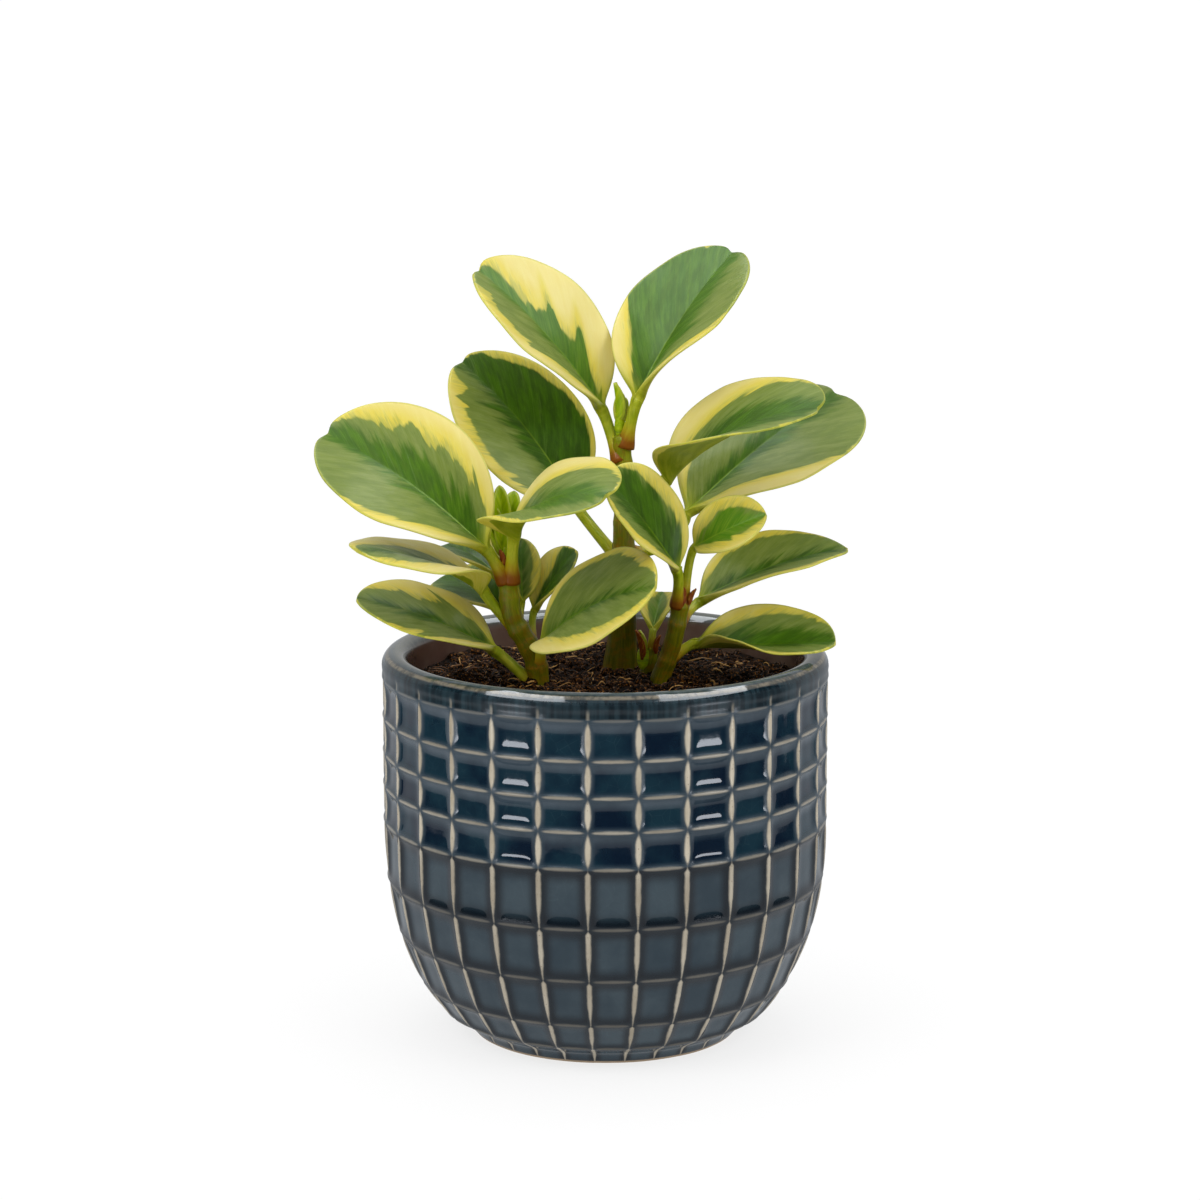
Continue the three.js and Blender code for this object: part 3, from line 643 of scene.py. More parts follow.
def glaze_outside(look):
    """Glaze that breaks to cream on the ridges and pools dark in the dishes, with a painted reflection of
    the floor over the tops of the upper dishes and a painted reflection of the sky on the lip. The `net`
    attribute gives the share of a column to the nearest upright ridge, the row counted from the foot, and
    the millimetres to the nearest level ridge. Rows below 0 are the foot, 8 to 9 the neck, 9 to 10 the lip
    and 10 the inside."""
    made, g, shader = material("glaze_outside", IOR=1.52)
    upright, row, level, _ = g.attribute("net")
    place = g.place()
    cloud = g.noise(place, 55.0, 4.0, 0.55)
    fine = g.noise(place, 420.0, 3.0, 0.6)
    jitter = g.centred(fine, 0.03)
    rise = g.math("FRACT", row)
    off_middle = g.math("ABSOLUTE", g.add(g.times(rise, 2.0), -1.0))
    off_centre = g.less(1.0, g.times(upright, 2.0))
    low_rows = g.step(row, 4.02, 3.98)
    in_net = g.times(g.step(row, -0.98, -0.94), g.step(row, 8.08, 7.98))

    # Where the glaze is thin enough to be cream: on the upright ridges, the level ones and the neck.
    lens = g.times(g.less(1.0, g.times(g.math("POWER", off_middle, 2.2), 0.9)), 0.07)
    bar = g.times(g.step(rise, 0.0, 0.5, 0.3, 1.0), g.step(rise, 0.99, 0.9, 0.1, 1.0), 0.062)
    half = g.blend(low_rows, lens, bar)
    crest = g.step(g.less(g.add(upright, jitter), half), -0.04, 0.014, 1.0, 0.0)
    crest = g.times(crest, in_net, g.blend(low_rows, g.step(off_middle, 1.0, 0.62, 0.12, 1.0), 0.82))
    thread = g.times(g.less(1.0, g.math("POWER", off_centre, 3.0)), 0.55)
    line = g.step(g.less(g.add(level, g.times(jitter, 9.0)), thread), -0.45, 0.3, 1.0, 0.0)
    line = g.times(line, g.step(upright, 0.04, 0.16), g.step(row, -0.05, -0.02))
    line = g.times(line, g.step(row, 3.9, 4.1, 0.2, 0.62), g.step(row, 7.9, 7.6, 0.3, 1.0))
    line = g.times(line, g.step(row, 8.3, 8.1))
    stem = g.times(g.step(upright, 0.055, 0.0), g.step(row, 8.0, 8.1), g.step(row, 9.1, 8.5, 0.0, 0.36))
    cream = g.most(crest, line, stem)
    beside = g.times(g.step(g.less(upright, half), -0.01, 0.09, 1.0, 0.0), in_net)
    thin = g.most(beside, g.times(g.step(level, 0.4, 2.2, 1.0, 0.0), g.step(row, 8.6, 8.1)))

    # The dark glaze from the dishes up over the neck and the lip to the inside, with painted reflections of
    # the floor on the upper dishes and of the sky on the lip.
    heart = g.times(g.step(off_middle, 0.95, 0.4), g.step(off_centre, 0.9, 0.4))
    teal = g.ramp(cloud, 0.35, 0.65, look.pool_colour, srgb(24, 48, 60))
    # Painted reflection of the floor: a lighter slate shelf over the upper part and sides of each upper-row
    # dish, with the dark pooled glaze below it.
    floor_reflection_shelf = g.ramp(cloud, 0.35, 0.65, srgb(46, 58, 68), srgb(66, 78, 88))
    pooled = g.times(g.step(rise, 0.84, 0.58), g.step(off_centre, 0.96, 0.66))
    slate = g.ramp(cloud, 0.3, 0.7, srgb(34, 50, 60), srgb(54, 68, 76))
    dish = g.mix(low_rows, g.mix(pooled, floor_reflection_shelf, teal), g.mix(heart, srgb(4, 9, 17), slate))
    craze = g.step(g.cells(place, 300.0, "DISTANCE_TO_EDGE"), 0.0, 0.02, 1.0, 0.0)
    dish = g.mix(g.times(craze, heart, g.step(cloud, 0.45, 0.6, 0.0, 0.2)), dish, srgb(70, 92, 98))
    beside_tint = g.times(thin, g.blend(low_rows, 0.8, 0.2))
    dish = g.mix(beside_tint, dish, g.mix(cloud, srgb(34, 50, 62), srgb(58, 74, 84)))
    streak = g.noise(g.stretch(place, (1.0, 1.0, 0.05)), 620.0)
    neck = g.ramp(streak, 0.3, 0.75, srgb(8, 24, 32), srgb(34, 54, 62))
    dish = g.ramp(row, 8.0, 8.3, dish, neck)
    # A beige band of streaks along the outer lower edge of the lip.
    lip_edge_beige = g.times(g.step(row, 9.2, 9.26), g.step(row, 9.36, 9.3), g.step(fine, 0.35, 0.6, 0.25, 0.75))
    dish = g.mix(lip_edge_beige, dish, srgb(140, 130, 112))
    # The lighter top and crown of the lip are partly the glaze's own pale colour and partly a painted
    # reflection of the sky.
    top = g.ramp(fine, 0.3, 0.7, srgb(56, 72, 82), srgb(84, 94, 98))
    dish = g.ramp(row, 9.3, 9.42, dish, top)
    crown_pale_and_sky_reflection = g.times(g.step(row, 9.42, 9.55), g.step(row, 9.85, 9.68), 0.7)
    dish = g.mix(crown_pale_and_sky_reflection, dish, srgb(120, 122, 118))
    inside = g.ramp(cloud, 0.3, 0.7, srgb(112, 84, 76), srgb(130, 108, 100))
    dish = g.ramp(row, 9.75, 10.0, dish, inside)

    specks = g.times(g.step(g.cells(place, 900.0), 0.22, 0.1, 0.0, 0.75), g.step(upright, 0.03, 0.0))
    ridge = g.ramp(cloud, 0.3, 0.75, look.cream_colour, srgb(166, 154, 132))
    ridge = g.mix(specks, ridge, srgb(110, 84, 56))
    clay = g.step(row, -0.86, -0.93)
    bare = g.mix(fine, srgb(140, 118, 94), srgb(172, 150, 122))
    g.feed(shader["Base Color"], g.mix(clay, g.mix(cream, dish, ridge), bare))
    gloss = g.blend(cream, g.blend(g.times(thin, in_net), 0.06, 0.36), 0.22)
    on_neck = g.times(g.step(row, 7.95, 8.0), g.step(row, 9.2, 9.1))
    g.feed(shader["Roughness"], g.blend(clay, g.blend(on_neck, gloss, 0.3), 0.8))
    relief = g.add(g.times(cloud, 0.5), g.times(fine, cream, 0.3))
    g.feed(shader["Normal"], g.bump(relief, 0.3, 0.0005))
    return made


def earth_material(name, groups, rust):
    """Potting mix; `rust` is the share of rusty bark in it."""
    made, g, shader = material(name, Roughness=0.92, Specular_IOR_Level=0.1)
    earth = g.use(groups["earth"], Place=g.place(), Rust=rust)
    g.feed(shader["Base Color"], earth["Colour"])
    g.feed(shader["Normal"], g.bump(earth["Height"], 0.9, 0.0008))
    return made


def fibre_material(groups):
    """Coir and bark fibres: rust to straw, a colour for each fibre from its `tint`."""
    made, g, shader = material("coir_fibres", Roughness=0.75, Specular_IOR_Level=0.3)
    tint, _, _, _ = g.attribute("tint")
    earth = g.use(groups["earth"], Place=g.place(), Rust=0.6)
    warm = g.ramp(tint, 0.75, 1.0, srgb(96, 58, 24), srgb(200, 152, 84))
    g.feed(shader["Base Color"], g.ramp(tint, 0.55, 0.85, earth["Colour"], warm))
    return made


def stem_material(groups, look):
    """Olive stem skin, lighter towards the tip, flushed red-brown at the joints. The `skin` attribute
    gives the flush, the share along the stem and a seed, and `grain` the millimetres round and along."""
    made, g, shader = material(
        "stem_skin", Roughness=0.32, Specular_IOR_Level=0.2, Subsurface_Weight=0.08,
        Subsurface_Scale=0.001, Subsurface_Radius=(0.8, 0.9, 0.2),
    )
    flush, share, _, _ = g.attribute("skin")
    _, _, _, grain = g.attribute("grain")
    skin = g.use(groups["skin"], Place=grain)
    streaks = g.grained(grain, (1.6, 0.12, 1.0), 3.0, 0.6)
    olive = g.ramp(streaks, 0.3, 0.7, srgb(80, 82, 4), look.stem_colour)
    young = g.ramp(streaks, 0.3, 0.75, srgb(112, 122, 6), srgb(146, 150, 20))
    colour = g.ramp(share, 0.45, 1.0, olive, young)
    colour = g.ramp(g.noise(grain, 0.35, 3.0, 0.6), 0.46, 0.66, colour, srgb(134, 94, 10), 0.5)
    scars = g.step(g.cells(g.stretch(grain, (0.9, 0.5, 1.0)), 1.0), 0.2, 0.08, 0.0, 0.45)
    colour = g.mix(g.times(scars, g.step(skin["Mottle"], 0.45, 0.6)), colour, srgb(128, 120, 66))
    g.feed(shader["Base Color"], g.use(groups["red"], Colour=colour, Amount=flush, Place=grain)["Colour"])
    g.feed(shader["Normal"], g.bump(g.add(skin["Height"], streaks), 0.35, 0.0004))
    return made


def leaf_material(name, groups, look, flush):
    """Satin leaf: cream margin, greyish green and deep green centre, light midrib and rim, paler lower
    face, and a stalk that turns orange-brown at its foot. The greyish green is partly the leaf's own tone
    and partly a painted sheen. `zone` gives the millimetres inside the green, the millimetres from the
    margin and the row. On the stalk the row is negative and the middle number is the millimetres from its
    foot, and one more. `heart` gives the millimetres inside the deep green. `skin` gives the lower face,
    how ragged the borders are and the tone; `grain` the millimetres outward, the millimetres across the
    streaks, and a seed."""
    made, g, shader = material(
        name, Subsurface_Weight=0.12, Subsurface_Scale=0.0015, Subsurface_Radius=(0.8, 1.0, 0.25),
        IOR=1.42, Specular_IOR_Level=0.18, Coat_Weight=0.05, Coat_Roughness=0.12,
    )
    inside, rim, row, _ = g.attribute("zone")
    heart, _, _, _ = g.attribute("heart")
    lower, ragged, tone, _ = g.attribute("skin")
    across, _, _, grain = g.attribute("grain")
    skin = g.use(groups["skin"], Place=grain)
    pattern = g.use(groups["variegation"], Grain=grain, Inside=inside, Heart=heart, Ragged=ragged)
    streaks, mottle = pattern["Streaks"], skin["Mottle"]

    cream = g.ramp(streaks, 0.4, 0.65, look.cream_colour, srgb(220, 207, 108))
    cream = g.ramp(mottle, 0.42, 0.62, cream, srgb(214, 194, 64), 0.6)
    cream = g.ramp(inside, -1.0, -7.0, cream, srgb(228, 214, 148), 0.6)
    faint = g.add(inside, g.centred(streaks, 18.0))
    cream = g.ramp(faint, -2.2, 1.2, cream, srgb(146, 152, 62), 0.55)
    # Greyish green where the deep green stops: partly the leaf's own tone, partly a painted sheen on halves
    # that catch the light.
    grey_green_and_sheen = g.ramp(streaks, 0.3, 0.7, srgb(108, 126, 48), srgb(128, 142, 72))
    grey_green_and_sheen = g.ramp(mottle, 0.4, 0.7, grey_green_and_sheen, srgb(92, 112, 42), 0.6)
    deep = g.ramp(streaks, 0.35, 0.7, look.green_colour, srgb(72, 110, 16))
    deep = g.ramp(mottle, 0.38, 0.68, deep, srgb(40, 66, 4), 0.7)
    fresh = g.ramp(streaks, 0.35, 0.7, srgb(80, 130, 10), srgb(122, 158, 36))
    newest = g.ramp(streaks, 0.35, 0.7, srgb(140, 172, 0), srgb(182, 200, 24))
    fresh = g.ramp(tone, 1.2, 2.0, fresh, newest)
    deep = g.mix(g.math("MINIMUM", g.times(tone, 0.75), 1.0), deep, fresh)
    green = g.mix(pattern["Deep"], grey_green_and_sheen, deep)
    flecks = g.times(g.step(skin["Pores"], 0.5, 0.05), 0.1)
    green = g.mix(flecks, green, srgb(150, 168, 112))
    upper = g.mix(pattern["Green"], cream, green)

    under_cream = g.ramp(streaks, 0.35, 0.7, srgb(204, 192, 62), srgb(214, 202, 100))
    under_green = g.ramp(mottle, 0.35, 0.7, srgb(118, 132, 8), srgb(144, 152, 34))
    under = g.mix(pattern["Green"], under_cream, under_green)
    under = g.ramp(tone, 1.2, 2.0, under, newest)
    colour = g.mix(lower, upper, under)

    on_rib = g.step(g.math("ABSOLUTE", across), 0.1, 0.5, 1.0, 0.0)
    rib = g.times(on_rib, g.step(row, 0.1, 0.9, 0.75, 0.0), g.step(row, 0.0, 0.02))
    colour = g.mix(rib, colour, srgb(124, 152, 34))
    veins = g.grained(grain, (0.015, 0.3, 1.0), 1.0, 0.5, (4.0, 4.0, 4.0))
    vein = g.step(g.math("ABSOLUTE", g.add(veins, -0.5)), 0.0, 0.012, 0.2, 0.0)
    colour = g.mix(g.times(vein, pattern["Green"]), colour, srgb(112, 140, 62))
    colour = g.mix(g.step(rim, 0.1, 0.45, 0.5, 0.0), colour, srgb(178, 180, 66))
    stalk = g.ramp(streaks, 0.35, 0.7, srgb(142, 158, 14), srgb(190, 190, 50))
    colour = g.ramp(row, 0.2, -0.02, colour, stalk)
    near_foot = g.step(g.add(rim, g.centred(streaks, 5.0)), 8.0, 1.2)
    rust = g.ramp(rim, 5.0, 1.0, srgb(172, 126, 10), srgb(128, 50, 8))
    colour = g.mix(g.times(g.step(row, -0.03, -0.065), near_foot, 0.9), colour, rust)
    colour = g.use(groups["red"], Colour=colour, Amount=flush, Place=grain)["Colour"]
    g.feed(shader["Base Color"], colour)
    g.feed(shader["Roughness"], g.blend(lower, g.step(mottle, 0.3, 0.7, 0.3, 0.42), 0.45))
    relief = g.add(g.times(streaks, 0.7), g.times(skin["Height"], 0.5), g.times(vein, -1.2))
    g.feed(shader["Normal"], g.bump(relief, 0.3, 0.00035))
    return made


def floor_material():
    """Plain pale studio floor that turns evenly lit away from the plant, and is dimmer in the gloss."""
    made, g, shader = material("studio_floor", Roughness=0.9, Specular_IOR_Level=0.1, Emission_Strength=1.0)
    far = g.fed("ShaderNodeVectorMath", {0: g.place()}, operation="LENGTH").outputs["Value"]
    mirrored = g.node("ShaderNodeLightPath").outputs["Is Glossy Ray"]
    shine = g.mix(mirrored, (1.0, 1.0, 1.0), (0.5, 0.52, 0.55))
    even = g.step(far, -0.24, 0.17)
    g.feed(shader["Base Color"], g.mix(even, (0.86, 0.86, 0.86), (0.0, 0.0, 0.0)))
    g.feed(shader["Emission Color"], g.mix(even, (0.0, 0.0, 0.0), shine))
    return made


# Planter

def crest_radius(z):
    """Radius over the ridge crests: straight above, an ellipse below."""
    down = np.clip((POT["belly_top"] - z) / POT["belly_axis_z"], 0, 1)
    return POT["radius"] - POT["belly_axis_r"] * (1 - np.sqrt(1 - down * down))


def inner_radius(z):
    return np.minimum(POT["inner_radius"], crest_radius(z) - POT["wall"])


def net_depth(across, along, dish, lean):
    """Depth below the crests: a dish flat in its middle that rises by a power law to each ridge. The
    two rises multiply, a crossing sinks a little, and a hyperbola rounds the crests. `lean` is how
    much deeper the top of a dish lies than its foot."""
    upright = (2 * across - 1) ** POT["ridge_power"]
    level = (2 * along - 1) ** POT["ridge_power"]
    flat = (1 - upright) * (1 - level)
    bowl = flat + POT["pinch"] * upright * level
    rounding = POT["crest"]
    depth = dish * (np.hypot(bowl, rounding) - rounding) / (math.hypot(1, rounding) - rounding)
    return depth + lean * (along - 0.5) * flat


def pot_profile():
    """Rows of the planter from the foot over the lip to the inside floor: height, radius, row number
    for the glaze, place between two level ridges, and share of the net's relief."""
    rise = np.linspace(0, 1, FOOT_ROWS, endpoint=False)
    foot_z = rise * RIDGES[0]
    places = [0, POT["foot_edge"], RIDGES[0] / 2, RIDGES[0]]
    edge = POT["foot_radius"] + POT["foot_edge"]
    widths = [POT["foot_radius"], edge, POT["foot_waist"], crest_radius(RIDGES[0])]
    foot = stacked(foot_z, np.interp(foot_z, places, widths), rise - 1, 0, rise)
    number = np.arange(len(RIDGES[:-1]) * NET_STEPS) / NET_STEPS
    net_z = np.interp(number, np.arange(len(RIDGES)), RIDGES)
    net = stacked(net_z, crest_radius(net_z), number, number % 1, 1)
    climb = np.linspace(0, 1, NECK_ROWS, endpoint=False)
    neck_z = lerp(RIDGES[-1], POT["lip_height"], climb)
    neck_r = POT["radius"] - POT["neck_groove"] * np.sin(math.pi * climb) ** 2
    last = len(RIDGES) - 1
    neck = stacked(neck_z, neck_r, last + climb, 0, 1 - climb)
    turn = np.linspace(0, 1, LIP_ROWS)
    lip_r = POT["lip_radius"] + POT["lip_tube"] * np.cos(turn * math.pi)
    lip_z = POT["lip_height"] + POT["lip_tube"] * np.sin(turn * math.pi)
    lip = stacked(lip_z, lip_r, last + 1 + turn, 0, 0)
    inside_z = np.array(INSIDE_HEIGHTS)
    inside = stacked(inside_z, inner_radius(inside_z), last + 2, 0, 0)
    return np.concatenate([foot, net, neck, lip, inside]).T


def pot_surface(columns, dish):
    """The planter: its profile turned about +Z, with the net sunk into it. A point stands at
    (r sin a, -r cos a, z), and r is the profile's radius less the net's depth and a slight wobble."""
    z, radius, number, along, relief = pot_profile()[:, :, None]
    across = np.arange(columns * NET_STEPS) / NET_STEPS
    angle = FIRST_RIDGE + across / columns * 2 * math.pi
    share = across % 1
    leans = np.tan(np.radians(LEANS)) * np.diff(RIDGES)
    lean = leans[np.clip(number, 0, len(leans) - 1).astype(int)]
    sink = net_depth(share, along, dish, lean) * relief
    wobble = POT["wobble"] * field(angle * POT["radius"], z, POT["wobble_size"], SEEDS["wobble"])
    points = turned(radius - sink + wobble * (number < len(RIDGES)), angle, z)
    to_level = np.abs(z[:, :, None] - RIDGES).min(axis=-1)
    return points, stacked(np.minimum(share, 1 - share), number, to_level)


# Potting mix

def soil_height(x, y):
    """Crumbly top of the mix: random swells of four sizes, heaped up a little round each stem."""
    height = SOIL_LEVEL + sum(
        size * field(x, y, length, SEEDS["swells"] + i) for i, (length, size) in enumerate(SOIL_SWELLS)
    )
    for spec in STEMS.values():
        x0, y0, _ = spec["route"][1]
        height = height + SOIL_HEAP * np.exp(-((x - x0) ** 2 + (y - y0) ** 2) / SOIL_HEAP_SPREAD)
    return height


def soil_surface():
    """The mix as a closed body: rings up the inside wall, then rings in to the middle of its top."""
    angle = whole_turn(SOIL_SECTORS)
    walls = np.array([POT["floor"] + SOIL_GAP, *SOIL_WALL_HEIGHTS])
    top_r = (POT["inner_radius"] - SOIL_GAP) * np.linspace(1, 0.004, SOIL_RINGS)
    radius = np.concatenate([inner_radius(walls) - SOIL_GAP, top_r])[:, None]
    height = soil_height(radius * np.sin(angle), -radius * np.cos(angle))
    height[:len(walls)] = walls[:, None]
    return turned(radius, angle, height)


def soil_places(count, rng):
    """Even random places on the top of the mix."""
    radius = (POT["inner_radius"] - 1.5) * np.sqrt(rng.uniform(0, 1, count))
    angle = rng.uniform(0, 2 * math.pi, count)
    x, y = radius * np.cos(angle), radius * np.sin(angle)
    return stacked(x, y, soil_height(x, y))


def crumbs(count):
    """Clods: a twenty-sided ball for each, stretched, turned and dented at random, sunk into the mix."""
    rng = np.random.default_rng(SEEDS["crumbs"])
    golden = (1 + math.sqrt(5)) / 2
    ball = unit(np.array([
        (-1, golden, 0), (1, golden, 0), (-1, -golden, 0), (1, -golden, 0),
        (0, -1, golden), (0, 1, golden), (0, -1, -golden), (0, 1, -golden),
        (golden, 0, -1), (golden, 0, 1), (-golden, 0, -1), (-golden, 0, 1),
    ], float))
    faces = np.array([
        (0, 11, 5), (0, 5, 1), (0, 1, 7), (0, 7, 10), (0, 10, 11), (1, 5, 9), (5, 11, 4), (11, 10, 2),
        (10, 7, 6), (7, 1, 8), (3, 9, 4), (3, 4, 2), (3, 2, 6), (3, 6, 8), (3, 8, 9), (4, 9, 5),
        (2, 4, 11), (6, 2, 10), (8, 6, 7), (9, 8, 1),
    ])
    size = CRUMB_SIZES[0] + CRUMB_SIZES[1] * rng.uniform(0, 1, count) ** CRUMB_RARITY
    stretch = rng.uniform(0.6, 1.3, (count, 1, 3)) * np.array([1, 1, 0.75])
    dents = rng.uniform(0.72, 1.15, (count, len(ball), 1))
    turn = rng.uniform(0, 2 * math.pi, count)[:, None]
    local = ball * stretch * dents * size[:, None, None]
    x = local[..., 0] * np.cos(turn) - local[..., 1] * np.sin(turn)
    y = local[..., 0] * np.sin(turn) + local[..., 1] * np.cos(turn)
    centres = soil_places(count, rng)
    centres[:, 2] += size * CRUMB_SUNK
    corners = faces[None] + (np.arange(count) * len(ball))[:, None, None]
    return stacked(x, y, local[..., 2]) + centres[:, None, :], corners.reshape(-1, 3).tolist()


def fibres(count):
    """Coir and bark strands: four-sided tubes along short curved paths that lie on the mix. A path is
    a start, a heading, a bend that grows with the square of the length, and a low hump."""
    rng = np.random.default_rng(SEEDS["fibres"])
    start = soil_places(count, rng)
    length = rng.uniform(*FIBRE_LENGTHS, count)[:, None]
    heading = rng.uniform(0, 2 * math.pi, count)[:, None]
    bend = rng.normal(0, FIBRE_BEND, count)[:, None]
    hump = rng.uniform(*FIBRE_HUMPS, count)[:, None]
    thick = rng.uniform(*FIBRE_RADII, count)[:, None]
    steps, sides = 7, 4
    s = np.linspace(0, 1, steps)
    angle = heading + bend * s
    step = length / (steps - 1)
    x = start[:, :1] + np.cumsum(np.cos(angle) * step, axis=1)
    y = start[:, 1:2] + np.cumsum(np.sin(angle) * step, axis=1)
    keep = np.minimum(1, (POT["inner_radius"] - 1.2) / np.hypot(x, y))
    x, y = x * keep, y * keep
    z = soil_height(x, y) + FIBRE_LIFT + hump * np.sin(s * math.pi)
    side = stacked(-np.sin(angle), np.cos(angle), 0)
    radius = thick * (0.35 + 0.65 * np.sin(math.pi * (0.12 + 0.76 * s)))
    around = whole_turn(sides)[:, None]
    ring = side[:, :, None, :] * np.cos(around) + UP * np.sin(around)
    points = stacked(x, y, z)[:, :, None, :] + ring * radius[:, :, None, None]
    one = grid_faces(steps, sides)
    faces = [[corner + steps * sides * i for corner in face] for i in range(count) for face in one]
    return points, faces, rng.uniform(0, 1, (count, 1, 1, 1))


# Stems

def smooth_route(route, shares):
    """Points on a centripetal Catmull-Rom curve through the route, at shares of its whole run. Between
    two points it is a cubic whose end slopes come from the neighbours, weighted by the square roots
    of the distances; the first and last slopes use mirrored neighbours."""
    route = np.array(route, float)
    padded = np.concatenate([[2 * route[0] - route[1]], route, [2 * route[-1] - route[-2]]])
    place = np.asarray(shares) * (len(route) - 1)
    start = np.minimum(place.astype(int), len(route) - 2)
    s = (place - start)[:, None]
    p0, p1, p2, p3 = (padded[start + k] for k in range(4))
    pairs = ((p0, p1), (p1, p2), (p2, p3))
    d0, d1, d2 = (np.linalg.norm(b - a, axis=1, keepdims=True) ** 0.5 for a, b in pairs)
    slope1 = ((p1 - p0) / d0 - (p2 - p0) / (d0 + d1) + (p2 - p1) / d1) * d1
    slope2 = ((p2 - p1) / d1 - (p3 - p1) / (d1 + d2) + (p3 - p2) / d2) * d1
    return (
        (2 * s**3 - 3 * s**2 + 1) * p1 + (s**3 - 2 * s**2 + s) * slope1
        + (3 * s**2 - 2 * s**3) * p2 + (s**3 - s**2) * slope2
    )


def stem_middle(name, height):
    """The point on a stem's axis at a height."""
    centres = smooth_route(STEMS[name]["route"], np.linspace(0, 1, STEM_ROWS))
    return np.array([np.interp(height, centres[:, 2], centres[:, k]) for k in range(3)])


def stem_surface(name, seed):
    """A stem: circles along its smooth route. The radius swells at each joint by a bell curve, with a
    narrow waist just above it, and fine flutes run along the skin. The tip is drawn in to close."""
    spec = STEMS[name]
    shares = np.linspace(0, 1, STEM_ROWS)
    centres = smooth_route(spec["route"], shares)
    tangents = unit(np.gradient(centres, axis=0))
    radius = np.interp(shares * (len(spec["radii"]) - 1), range(len(spec["radii"])), spec["radii"])
    flush = np.zeros(STEM_ROWS)
    for leaf in LEAVES.values():
        if leaf["stem"] == name:
            lift = centres[:, 2] - leaf["foot"][2] + JOINT_DROP
            radius = radius + JOINT_SWELL * bell(lift, 0, JOINT_WIDTH)
            radius = radius - JOINT_WAIST * JOINT_SWELL * bell(lift, 1.9 * JOINT_WIDTH, 0.9 * JOINT_WIDTH)
            flush = np.maximum(flush, FLUSH[0] * bell(lift, *FLUSH[1:]))
    close = np.sqrt(1 - np.clip((shares - TIP_CLOSES) / 0.015, 0, 0.97) ** 2)[:, None]
    side = unit(np.cross(AWAY, tangents))
    front = np.cross(tangents, side)
    angle = whole_turn(STEM_SIDES)
    run = np.concatenate([[0], np.cumsum(np.linalg.norm(np.diff(centres, axis=0), axis=1))])[:, None]
    flutes = 0.12 * field(angle * 9.0 / (2 * math.pi) * 4, run * 0.12, 1.0, seed)
    flutes = flutes + 0.1 * np.sin(3 * angle + run * 0.05)
    r = radius[:, None] * close + flutes * close
    ring = side[:, None, :] * np.cos(angle)[:, None] + front[:, None, :] * np.sin(angle)[:, None]
    points = centres[:, None, :] + ring * r[..., None]
    around = np.abs(np.pi - angle) * radius.mean()
    return points, dict(
        grain=stacked(around, run, seed), skin=stacked(flush[:, None], shares[:, None], seed),
    )


# Leaves

def blade_axes(leaf):
    """Axes of a blade: along its midrib, to its right and out of its upper face, and its length."""
    forward = np.array(leaf["tip"], float) - np.array(leaf["base"], float)
    length = np.linalg.norm(forward)
    forward = forward / length
    level = unit(np.cross(forward, UP))
    face = np.cross(level, forward)
    turn = math.radians(leaf["roll"])
    right = level * math.cos(turn) - face * math.sin(turn)
    upper = face * math.cos(turn) + level * math.sin(turn)
    return forward, right, upper, length


def section_loop():
    """Places round a closed section: over the upper face from left to right, round the right margin,
    back under the lower face and round the left margin. Each has its share across, its side (1 above,
    -1 below) and how far it bulges out as part of the rounded rim."""
    even = np.linspace(-1, 1, 2 * HALF_STEPS + 1)
    across = np.sign(even) * np.abs(even) ** CROWDING
    turn = np.linspace(0, math.pi, RIM_STEPS + 2)[1:-1]
    ones, flat = np.ones_like(turn), np.zeros_like(across)
    share = np.concatenate([across, ones, across[::-1], -ones])
    side = np.concatenate([flat + 1, np.cos(turn), flat - 1, -np.cos(turn)])
    bulge = np.concatenate([flat, np.sin(turn), flat, np.sin(turn)])
    return share, side, bulge


def outline(row, shape):
    """Half width as a share of the widest: a power of the row at the base times a power at the tip."""
    widest = shape[0] / (shape[0] + shape[1])
    peak = widest ** shape[0] * (1 - widest) ** shape[1]
    return row ** shape[0] * (1 - row) ** shape[1] / peak


def rounded_body(depth, out, power=2):
    """Half the depth of a section whose faces fall away to its rim."""
    return depth * np.sqrt(1 - (1 - EDGE * EDGE) * out ** power)


